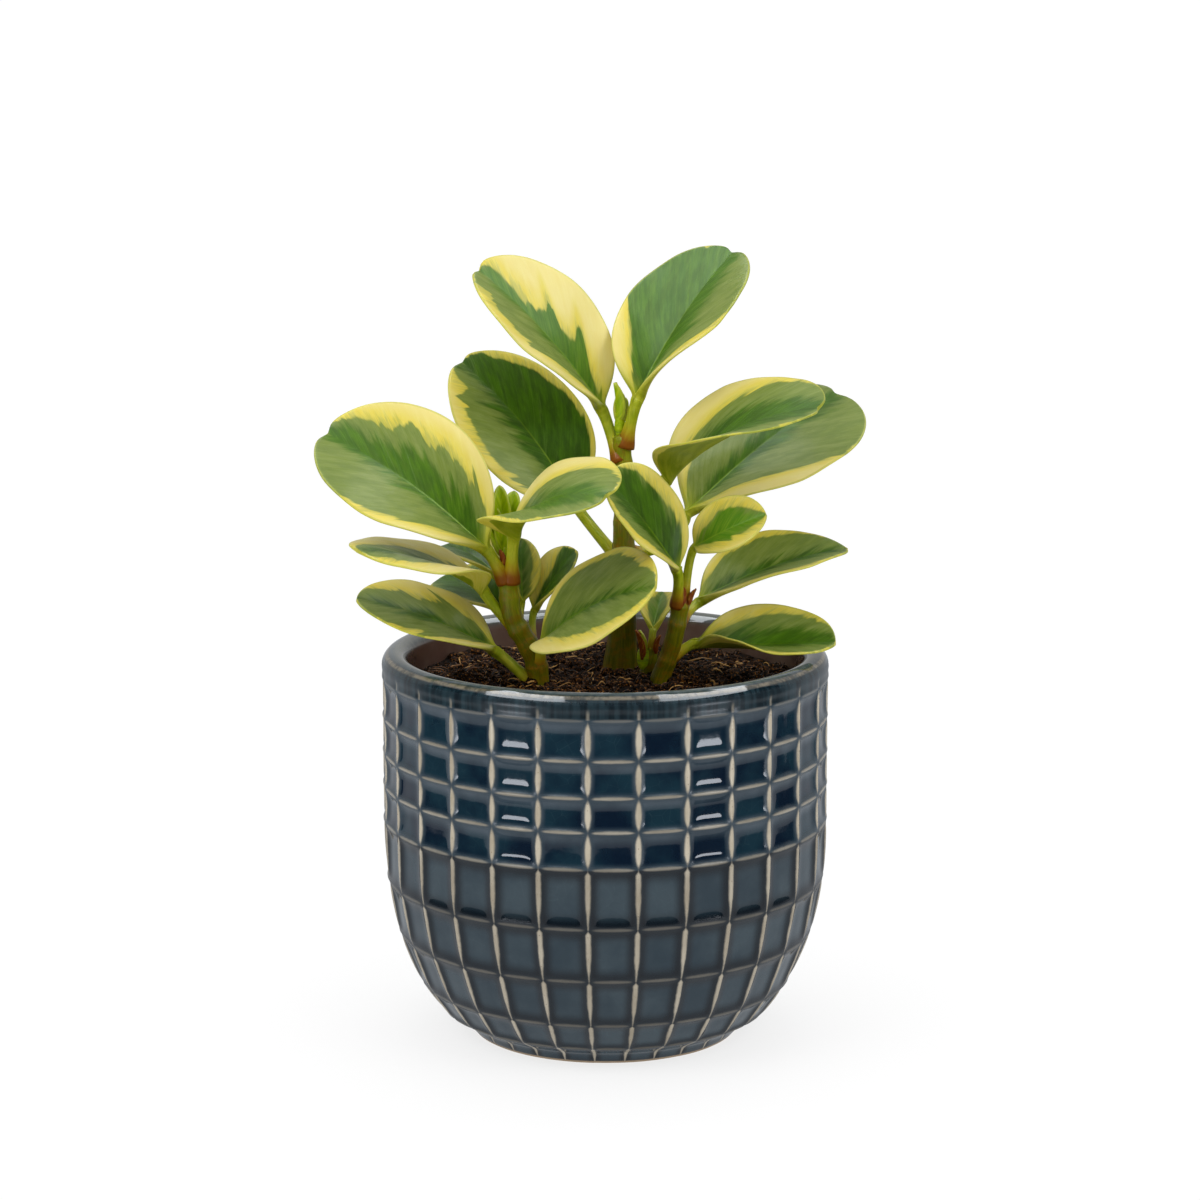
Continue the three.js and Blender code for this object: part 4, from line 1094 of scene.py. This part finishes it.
def blade_surface(leaf, thick, seed):
    """The blade. A row follows the side veins: it leaves the midrib at its vein's foot and reaches the
    margin further on. Each half rises from the midrib by an angle that closes towards the tip and
    opens over the crease; the midrib is a parabola, and the faces lie half the thickness to each
    side. On top come a groove and a keel along the midrib, a waved margin and a slight ripple. The
    attributes measure how far a point lies inside the green and the deep green, whose tongues follow
    slanting streaks."""
    forward, right, upper, length = blade_axes(leaf)
    t, side, bulge = section_loop()
    out = np.abs(t)
    turn = np.linspace(FIRST_ROW, LAST_ROW, BLADE_ROWS) * math.pi
    m = ((1 - np.cos(turn)) / 2)[:, None]
    wide = outline(m, leaf["shape"]) * (1 - np.exp(-m / BASE_TAPER))
    flat = np.minimum(1, m / NECK)
    depth = thick + (2 * leaf["stalk"] - thick) * (1 - flat) ** 2
    rim = depth / 2 * EDGE
    half = np.hypot(wide * leaf["width"] / 2, leaf["stalk"] * (1 - m) ** NECK_FADE)
    inner = np.maximum(half - rim, 0.02)
    foot = m - 4 * VEIN_SWEEP * m * (1 - m)
    dip = np.where(m > 0.5, bell(wide, 0, NOTCH_WIDTH), 0)
    margin = m + leaf["notch"] * (m**6 - dip)
    along = lerp(foot, margin, out)
    opened, closed = leaf["fold"]
    opening = closed + (opened - closed) * (1 - np.minimum(1, along)) ** leaf["close"]
    rise = np.radians(opening + np.where(t > 0, leaf["curl"][1], leaf["curl"][0]) * out)
    reach = inner * out
    angle = (rise * reach / (reach + CREASE))[..., None]
    slope = (4 * leaf["arch"] * (1 - 2 * along))[..., None]
    normal = unit(upper - slope * forward)
    hand = np.sign(t)[:, None]
    facing = normal * np.cos(angle) - right * hand * np.sin(angle)
    outward = right * hand * np.cos(angle) + normal * np.sin(angle)
    groove = GROOVE * bell(reach, 0, GROOVE_WIDTH) * (1 - m) * flat
    keel = KEEL * bell(reach, 0, KEEL_WIDTH) * (1 - m) ** 1.5 * flat
    body = rounded_body(depth / 2, out, 2 + 2 * flat) + np.where(side > 0, -groove, keel) * np.abs(side)
    rng = np.random.default_rng(seed)
    beat, start = rng.uniform(1.6, 2.8, 2), rng.uniform(0, 2 * math.pi, 2)
    which = (t > 0).astype(int)
    wave = WAVE * out**3 * np.sin(2 * math.pi * beat[which] * along + start[which]) * (half / 20)
    ripple = RIPPLE * field(t * half * 0.35, m * length, RIPPLE_SIZE, seed) * flat * out
    lift = side * body + wave + ripple
    bow = 4 * leaf["arch"] * along * (1 - along) * length
    points = (
        np.array(leaf["base"], float)
        + forward * (along * length)[..., None] + upper * bow[..., None]
        + outward * (reach + bulge * rim)[..., None] + facing * lift[..., None]
    )
    left_reach, right_reach = (np.interp(m, GREEN_ROWS, leaf[key]) for key in ("left", "right"))
    streak = m * length - GRAIN_SLANT * out * half
    for row, height, width in leaf.get("tongues", []):
        right_reach = right_reach + height * bell(streak / length, row, width)
    green_reach = np.where(t > 0, right_reach, left_reach)
    deep_reach = green_reach * np.where(t > 0, leaf["deep"][1], leaf["deep"][0])
    return points, dict(
        grain=stacked(t * half, streak, seed * GRAIN_APART),
        zone=stacked(half * (green_reach - out), half * (1 - out), m),
        heart=stacked(half * (deep_reach - out), 0, 0),
        skin=stacked((1 - side) / 2, leaf["ragged"], leaf["tone"] + 0 * m),
    )


def stalk_surface(leaf, seed):
    """The stalk: a cubic curve from its foot in the stem to the blade, which it meets along the midrib,
    and flattened round sections that widen where it clasps the stem, draw in halfway and take on the
    blade's fold by the time they reach it."""
    forward, right, upper, _ = blade_axes(leaf)
    joint, base = np.array(leaf["foot"], float), np.array(leaf["base"], float)
    foot = lerp(joint, stem_middle(leaf["stem"], joint[2] - STALK_DROP), leaf.get("sunk", FOOT_SUNK))
    hidden = np.linalg.norm(joint - foot)
    distance = np.linalg.norm(base - foot)
    start = unit(forward + 4 * leaf["arch"] * upper)
    drop = UP * leaf.get("sag", 0)
    p1 = lerp(foot, base, STALK_RISE) - drop
    p2 = base - start * distance * STALK_BEND - drop
    s = np.linspace(0, 1, STALK_ROWS, endpoint=False)[:, None]
    centre = (1 - s) ** 3 * foot + 3 * (1 - s) ** 2 * s * p1 + 3 * (1 - s) * s**2 * p2 + s**3 * base
    tangent = unit(3 * (1 - s) ** 2 * (p1 - foot) + 6 * (1 - s) * s * (p2 - p1) + 3 * s**2 * (base - p2))
    across = unit(right - tangent * (tangent @ right)[:, None])
    above = np.cross(across, tangent)
    t, side, bulge = section_loop()
    out, hand = np.abs(t), np.sign(t)[:, None]
    size = leaf["stalk"] * (1 + CLASP * bell(s * distance, 0, CLASP_LENGTH) - WAIST * np.sin(math.pi * s))
    folding = smooth_step(s, FOLDS_FROM, 1.0)
    flat_side = lerp(FLAT_SIDE, 1 - EDGE, folding)
    reach = size * flat_side * out
    angle = (folding * math.radians(leaf["fold"][0]) * reach / (reach + CREASE))[..., None]
    outward = across[:, None, :] * hand * np.cos(angle) + above[:, None, :] * np.sin(angle)
    facing = above[:, None, :] * np.cos(angle) - across[:, None, :] * hand * np.sin(angle)
    hollow = STALK_GROOVE * size * bell(t, 0, STALK_GROOVE_WIDTH) * s * (1 - s)
    groove = np.where(side > 0, hollow, 0)
    points = (
        centre[:, None, :] + outward * (reach + bulge * size * (1 - flat_side))[..., None]
        + facing * (side * (rounded_body(size, out) - groove))[..., None]
    )
    return points, dict(
        grain=stacked((s - 1) * distance, t * size, seed * GRAIN_APART),
        zone=stacked(ON_STALK, 1 + np.maximum(s * distance - hidden, 0), s - 1 + 0 * t),
        heart=stacked(ON_STALK + 0 * t, 0 * s, 0),
        skin=stacked((1 - side) / 2, leaf["ragged"], leaf["tone"] + 0 * s),
    )


def add_leaf(shell, leaf, thick, seed):
    """A blade with its stalk, if it has one, as one closed body."""
    points, attributes = blade_surface(leaf, thick, seed)
    if "foot" in leaf:
        stalk_points, stalk_attributes = stalk_surface(leaf, seed)
        points = np.concatenate([stalk_points, points])
        attributes = {key: np.concatenate([stalk_attributes[key], attributes[key]]) for key in attributes}
    shell.loft(points, **attributes)


def core_surface(centre, size):
    """A bud's core: an upright ellipsoid, closed by small end rings."""
    turn = np.linspace(0.02, 0.98, CORE_ROWS)[:, None] * math.pi
    points = turned(size[0] * np.sin(turn), whole_turn(CORE_SIDES), -size[1] * np.cos(turn))
    return points + np.array(centre)


# Settings

class PlanterLook(PropertyGroup):
    """Planter and potting mix."""

    columns: IntProperty(name="Columns", description="Upright ridges round the planter", default=29, min=8)
    dish: FloatProperty(
        name="Dish depth", description="Depth of a dish below its ridges", default=0.0013, unit="LENGTH"
    )
    pool_colour: FloatVectorProperty(
        name="Pooled glaze", description="Glaze where it lies thick", subtype="COLOR",
        default=srgb(12, 26, 42),
    )
    cream_colour: FloatVectorProperty(
        name="Thin glaze", description="Glaze where it breaks on the ridges", subtype="COLOR",
        default=srgb(200, 190, 170),
    )
    crumbs: IntProperty(name="Crumbs", description="Clods on the potting mix", default=4200, min=0)
    fibres: IntProperty(name="Fibres", description="Strands on the potting mix", default=1700, min=0)


class FoliageLook(PropertyGroup):
    """Leaves, stems and buds."""

    thickness: FloatProperty(
        name="Leaf thickness", description="Thickness of a blade", default=0.0013, unit="LENGTH"
    )
    cream_colour: FloatVectorProperty(
        name="Margin", description="Cream-yellow margin of the leaves", subtype="COLOR",
        default=srgb(216, 200, 82),
    )
    green_colour: FloatVectorProperty(
        name="Centre", description="Deep green centre of the leaves", subtype="COLOR",
        default=srgb(54, 88, 10),
    )
    stem_colour: FloatVectorProperty(
        name="Stems", description="Olive skin of the stems", subtype="COLOR", default=srgb(112, 106, 6)
    )


class StudioLook(PropertyGroup):
    """Camera, floor and light."""

    focal: FloatProperty(
        name="Focal length", description="Lens of the camera in mm", default=105.94, min=10
    )
    pitch: FloatProperty(
        name="Pitch", description="How far the camera looks down", subtype="ANGLE",
        default=math.radians(10.84),
    )
    distance: FloatProperty(
        name="Distance", description="From the camera to the plant", default=1.1, unit="LENGTH"
    )
    sky: FloatProperty(
        name="Sky", description="Strength of the even light from all sides", default=0.48, min=0
    )
    gloss_sky: FloatProperty(
        name="Mirrored sky", description="Strength of the sky in the gloss", default=0.5, min=0
    )


# Operators

GROUPS = {
    "skin": ("fleshy_skin", skin_group), "variegation": ("variegation", variegation_group),
    "red": ("reddening", reddening_group), "earth": ("earth", earth_group),
}


def finishes():
    """Node groups by short name, each made when it is first asked for."""
    return {short: bpy.data.node_groups.get(name) or make() for short, (name, make) in GROUPS.items()}


class PLANT_OT_planter(Operator):
    """Build the glazed planter with its raised net"""

    bl_idname = "plant.planter"
    bl_label = "Planter"

    def execute(self, context):
        look = context.scene.planter_look
        points, net = pot_surface(look.columns, look.dish / MM)
        shell = Shell()
        shell.loft(points, net=net)
        shell.piece("pot_glazed", glaze_outside(look), ["pot"])
        return {"FINISHED"}


class PLANT_OT_potting_mix(Operator):
    """Build the potting mix with its crumbs and fibres"""

    bl_idname = "plant.potting_mix"
    bl_label = "Potting mix"

    def execute(self, context):
        look = context.scene.planter_look
        groups = finishes()
        body = Shell()
        body.loft(soil_surface())
        body.piece("soil_body", earth_material("potting_mix_dark", groups, 0.1), ["soil"])
        clods = Shell()
        clods.add(*crumbs(look.crumbs))
        clod_finish = earth_material("potting_mix_clods", groups, 0.45)
        clods.piece("soil_crumbs", clod_finish, flat_shaded=True)
        strands = Shell()
        points, faces, tint = fibres(look.fibres)
        strands.add(points, faces, tint=tint)
        strands.piece("soil_fibres", fibre_material(groups))
        return {"FINISHED"}


class PLANT_OT_stems(Operator):
    """Build the stems with their joints"""

    bl_idname = "plant.stems"
    bl_label = "Stems"

    def execute(self, context):
        finish = stem_material(finishes(), context.scene.foliage_look)
        for seed, name in enumerate(STEMS, SEEDS["stems"]):
            points, attributes = stem_surface(name, seed)
            shell = Shell()
            shell.loft(points, **attributes)
            shell.piece(name.replace("stem_", "skin_"), finish, [name])
        return {"FINISHED"}


class PLANT_OT_leaves(Operator):
    """Build every leaf with its stalk and its variegation"""

    bl_idname = "plant.leaves"
    bl_label = "Leaves"

    def execute(self, context):
        look = context.scene.foliage_look
        finish = leaf_material("leaf_variegated", finishes(), look, 0.0)
        for seed, (name, leaf) in enumerate(LEAVES.items(), SEEDS["leaves"]):
            shell = Shell()
            add_leaf(shell, leaf, look.thickness / MM, seed)
            shell.piece(name.replace("leaf_", "blade_"), finish, [name])
        return {"FINISHED"}


class PLANT_OT_buds(Operator):
    """Build the unfolding buds and the dry bracts beside them"""

    bl_idname = "plant.buds"
    bl_label = "Buds"

    def execute(self, context):
        look = context.scene.foliage_look
        finish = leaf_material("bud_fresh", finishes(), look, 0.0)
        dry = leaf_material("bract_dry", finishes(), look, BRACT_FLUSH)
        for seed, (name, spec) in enumerate(BUDS.items(), SEEDS["buds"]):
            shell = Shell()
            points = core_surface(spec["core"], spec["size"])
            shell.loft(points, grain=points, **CORE_LOOK)
            for leaf in spec["leaves"]:
                add_leaf(shell, {**BUD_LEAF, **leaf}, look.thickness / MM, seed)
            shell.piece(name.replace("bud_", "shoot_"), finish, [name])
            if spec["bracts"]:
                scales = Shell()
                for leaf in spec["bracts"]:
                    add_leaf(scales, {**BRACT, **leaf}, BRACT_THICKNESS, seed)
                scales.piece(name.replace("bud_", "bracts_"), dry)
        return {"FINISHED"}


CAMERA_AIM = np.array([-1.6, 0.0, 136.8])
FLOOR_REACH = 30.0  # metres, as is the next
FLOOR_GAP = 0.0002
# Upright cards that only the gloss mirrors: name, azimuth from the front, half width, height range,
# distance, colour, strength, and how far a card is rounded to an oval. The panels leave the bright bars
# in the dishes, and the shades keep the sky out of the dishes beside them.
PANEL, SHADE = (0.9, 0.93, 1.0), (0.02, 0.024, 0.03)
MIRRORED = [
    ("dark_surround", 0.0, 100.0, (0.0, 430.0), 406.0, (0.01, 0.01, 0.012), 1.0, 0.0),
    ("low_panel_left", -43.1, 7.5, (35.0, 105.0), 395.0, PANEL, 9.0, 1.0),
    ("low_panel_right", 50.2, 7.5, (35.0, 105.0), 395.0, PANEL, 9.0, 1.0),
    ("low_shade_left", -32.2, 7.5, (50.0, 70.0), 110.0, SHADE, 1.0, 0.0),
    ("low_shade_right", 38.5, 7.5, (50.0, 70.0), 110.0, SHADE, 1.0, 0.0),
]
# Soft boxes that the lip mirrors to the camera: name, azimuths and elevations that the lip faces where
# it mirrors them, colour and strength.
LIP_BOXES = [
    ("lip_box_left", (-31.0, -10.0), (27.0, 66.0), (0.92, 0.96, 1.0), 8.0),
    ("lip_box_right", (13.4, 38.0), (27.0, 66.0), (0.92, 0.96, 1.0), 7.0),
]
BOX_DISTANCE = 900.0
# Lamps: name, azimuth, elevation, distance, size and power in watts.
LAMPS = [
    ("key_left", -50.0, 40.0, 1.0, 0.6, 4.0),
    ("key_right", 52.0, 36.0, 1.0, 0.6, 3.4),
    ("overhead", 180.0, 72.0, 1.3, 1.0, 4.6),
]


def upright_card(azimuth, half_width, heights, distance, round_ends):
    """Points of an upright card curved round the planter's axis: at share u of its height, from -1 to
    1, the card keeps the share (1 - round_ends) + round_ends sqrt(1 - u^2) of its half width."""
    share = np.linspace(-1, 1, 17)[:, None]
    kept = lerp(1.0, np.sqrt(1 - share * share), round_ends)
    angle = np.radians(azimuth + kept * np.linspace(-half_width, half_width, 25))
    return turned(distance, angle, lerp(*heights, (share + 1) / 2))


def lip_box(azimuths, elevations, camera):
    """Points of a soft box that lies along the rays from the camera that the lip throws back: a ray
    leaves towards 2 (n . v) n - v, where n is the lip's normal and v points to the camera."""
    elevation = np.radians(np.linspace(*elevations, 9))[:, None, None]
    level = turned(1.0, np.radians(np.linspace(*azimuths, 9)), 0)
    normal = level * np.cos(elevation) + UP * np.sin(elevation)
    place = level * POT["lip_radius"] + UP * POT["lip_height"] + normal * POT["lip_tube"]
    view = unit(camera - place)
    return place + (2 * (normal * view).sum(axis=-1, keepdims=True) * normal - view) * BOX_DISTANCE


def mirrored_card(name, points, colour, strength):
    """An evenly shining card through a grid of points, seen by reflections alone."""
    finish, _, _ = material(
        name + "_card", Roughness=1.0, Specular_IOR_Level=0.0, Base_Color=(0.0, 0.0, 0.0),
        Emission_Color=colour, Emission_Strength=strength,
    )
    rows, columns = points.shape[:2]
    i, j = np.meshgrid(np.arange(rows - 1), np.arange(columns - 1), indexing="ij")
    first = (i * columns + j).ravel()
    faces = np.stack([first, first + 1, first + columns + 1, first + columns], axis=-1).tolist()
    mesh = bpy.data.meshes.new(name)
    mesh.from_pydata(points.reshape(-1, 3) * MM, [], faces)
    mesh.materials.append(finish)
    card = linked(name, mesh)
    card.visible_camera = False
    card.visible_diffuse = False
    card.visible_shadow = False
    card.visible_transmission = False


def studio_floor():
    """A wide plain floor just under the planter."""
    mesh = bpy.data.meshes.new("studio_floor")
    corners = stacked((-1.0, 1.0, 1.0, -1.0), (-1.0, -1.0, 1.0, 1.0), 0) * FLOOR_REACH - UP * FLOOR_GAP
    mesh.from_pydata(corners, [], [(0, 1, 2, 3)])
    mesh.materials.append(floor_material())
    floor = linked("studio_floor", mesh)


def studio_lamp(name, azimuth, elevation, distance, size, power):
    """A round soft lamp that looks at what the camera looks at."""
    data = bpy.data.lights.new(name, "AREA")
    data.shape, data.size, data.energy = "DISK", size, power
    lamp = linked(name, data)
    a, e = math.radians(azimuth), math.radians(elevation)
    lamp.location = CAMERA_AIM * MM + turned(math.cos(e), a, math.sin(e)) * distance
    lamp.rotation_euler = (math.radians(90) - e, 0, a)
    lamp.visible_glossy = False


def studio_sky(look):
    """An even white sky: full white to the camera, dimmer in the gloss and as light."""
    world = bpy.data.worlds.new("studio_sky")
    world.use_nodes = True
    graph = Graph(world.node_tree)
    sky = world.node_tree.nodes["Background"].inputs
    ray = graph.node("ShaderNodeLightPath").outputs
    light = graph.mix(ray["Is Glossy Ray"], (look.sky,) * 3, (look.gloss_sky,) * 3)
    graph.feed(sky["Color"], graph.mix(ray["Is Camera Ray"], light, (1.0, 1.0, 1.0)))
    graph.feed(sky["Strength"], 1.0)
    return world


class PLANT_OT_studio(Operator):
    """Set up the floor, the light and the camera"""

    bl_idname = "plant.studio"
    bl_label = "Studio"

    def execute(self, context):
        look = context.scene.studio_look
        scene = context.scene
        scene.view_settings.view_transform = "Standard"
        scene.world = studio_sky(look)
        studio_floor()
        back = np.array([0, -math.cos(look.pitch), math.sin(look.pitch)])
        eye = CAMERA_AIM + back * look.distance / MM
        for name, azimuth, half_width, heights, distance, colour, strength, round_ends in MIRRORED:
            points = upright_card(azimuth, half_width, heights, distance, round_ends)
            mirrored_card(name, points, colour, strength)
        for name, azimuths, elevations, colour, strength in LIP_BOXES:
            mirrored_card(name, lip_box(azimuths, elevations, eye), colour, strength)
        for lamp in LAMPS:
            studio_lamp(*lamp)
        data = bpy.data.cameras.new("camera")
        data.lens, data.sensor_width = look.focal, 36.0
        data.clip_end = 100.0
        camera = linked("camera", data)
        camera.location = eye * MM
        camera.rotation_euler = (math.radians(90) - look.pitch, 0, 0)
        scene.camera = camera
        return {"FINISHED"}


OPERATORS = (
    PLANT_OT_planter, PLANT_OT_potting_mix, PLANT_OT_stems, PLANT_OT_leaves, PLANT_OT_buds, PLANT_OT_studio,
)


class PLANT_PT_builder(Panel):
    """Lists the operators and their settings"""

    bl_idname = "PLANT_PT_builder"
    bl_label = "Rubber plant"
    bl_space_type = "VIEW_3D"
    bl_region_type = "UI"
    bl_category = "Rubber Plant"

    def draw(self, context):
        for operator in OPERATORS:
            self.layout.operator(operator.bl_idname)
        for look in (context.scene.planter_look, context.scene.foliage_look, context.scene.studio_look):
            for name in look.__annotations__:
                self.layout.prop(look, name)


CLASSES = (PlanterLook, FoliageLook, StudioLook, *OPERATORS, PLANT_PT_builder)


def register():
    for cls in CLASSES:
        bpy.utils.register_class(cls)
    bpy.types.Scene.planter_look = PointerProperty(type=PlanterLook)
    bpy.types.Scene.foliage_look = PointerProperty(type=FoliageLook)
    bpy.types.Scene.studio_look = PointerProperty(type=StudioLook)


def unregister():
    del bpy.types.Scene.studio_look, bpy.types.Scene.foliage_look, bpy.types.Scene.planter_look
    for cls in reversed(CLASSES):
        bpy.utils.unregister_class(cls)


def main():
    register()
    bpy.ops.plant.planter()
    bpy.ops.plant.potting_mix()
    bpy.ops.plant.stems()
    bpy.ops.plant.leaves()
    bpy.ops.plant.buds()
    bpy.ops.plant.studio()
    bpy.context.view_layer.update()


if __name__ == "__main__":
    main()
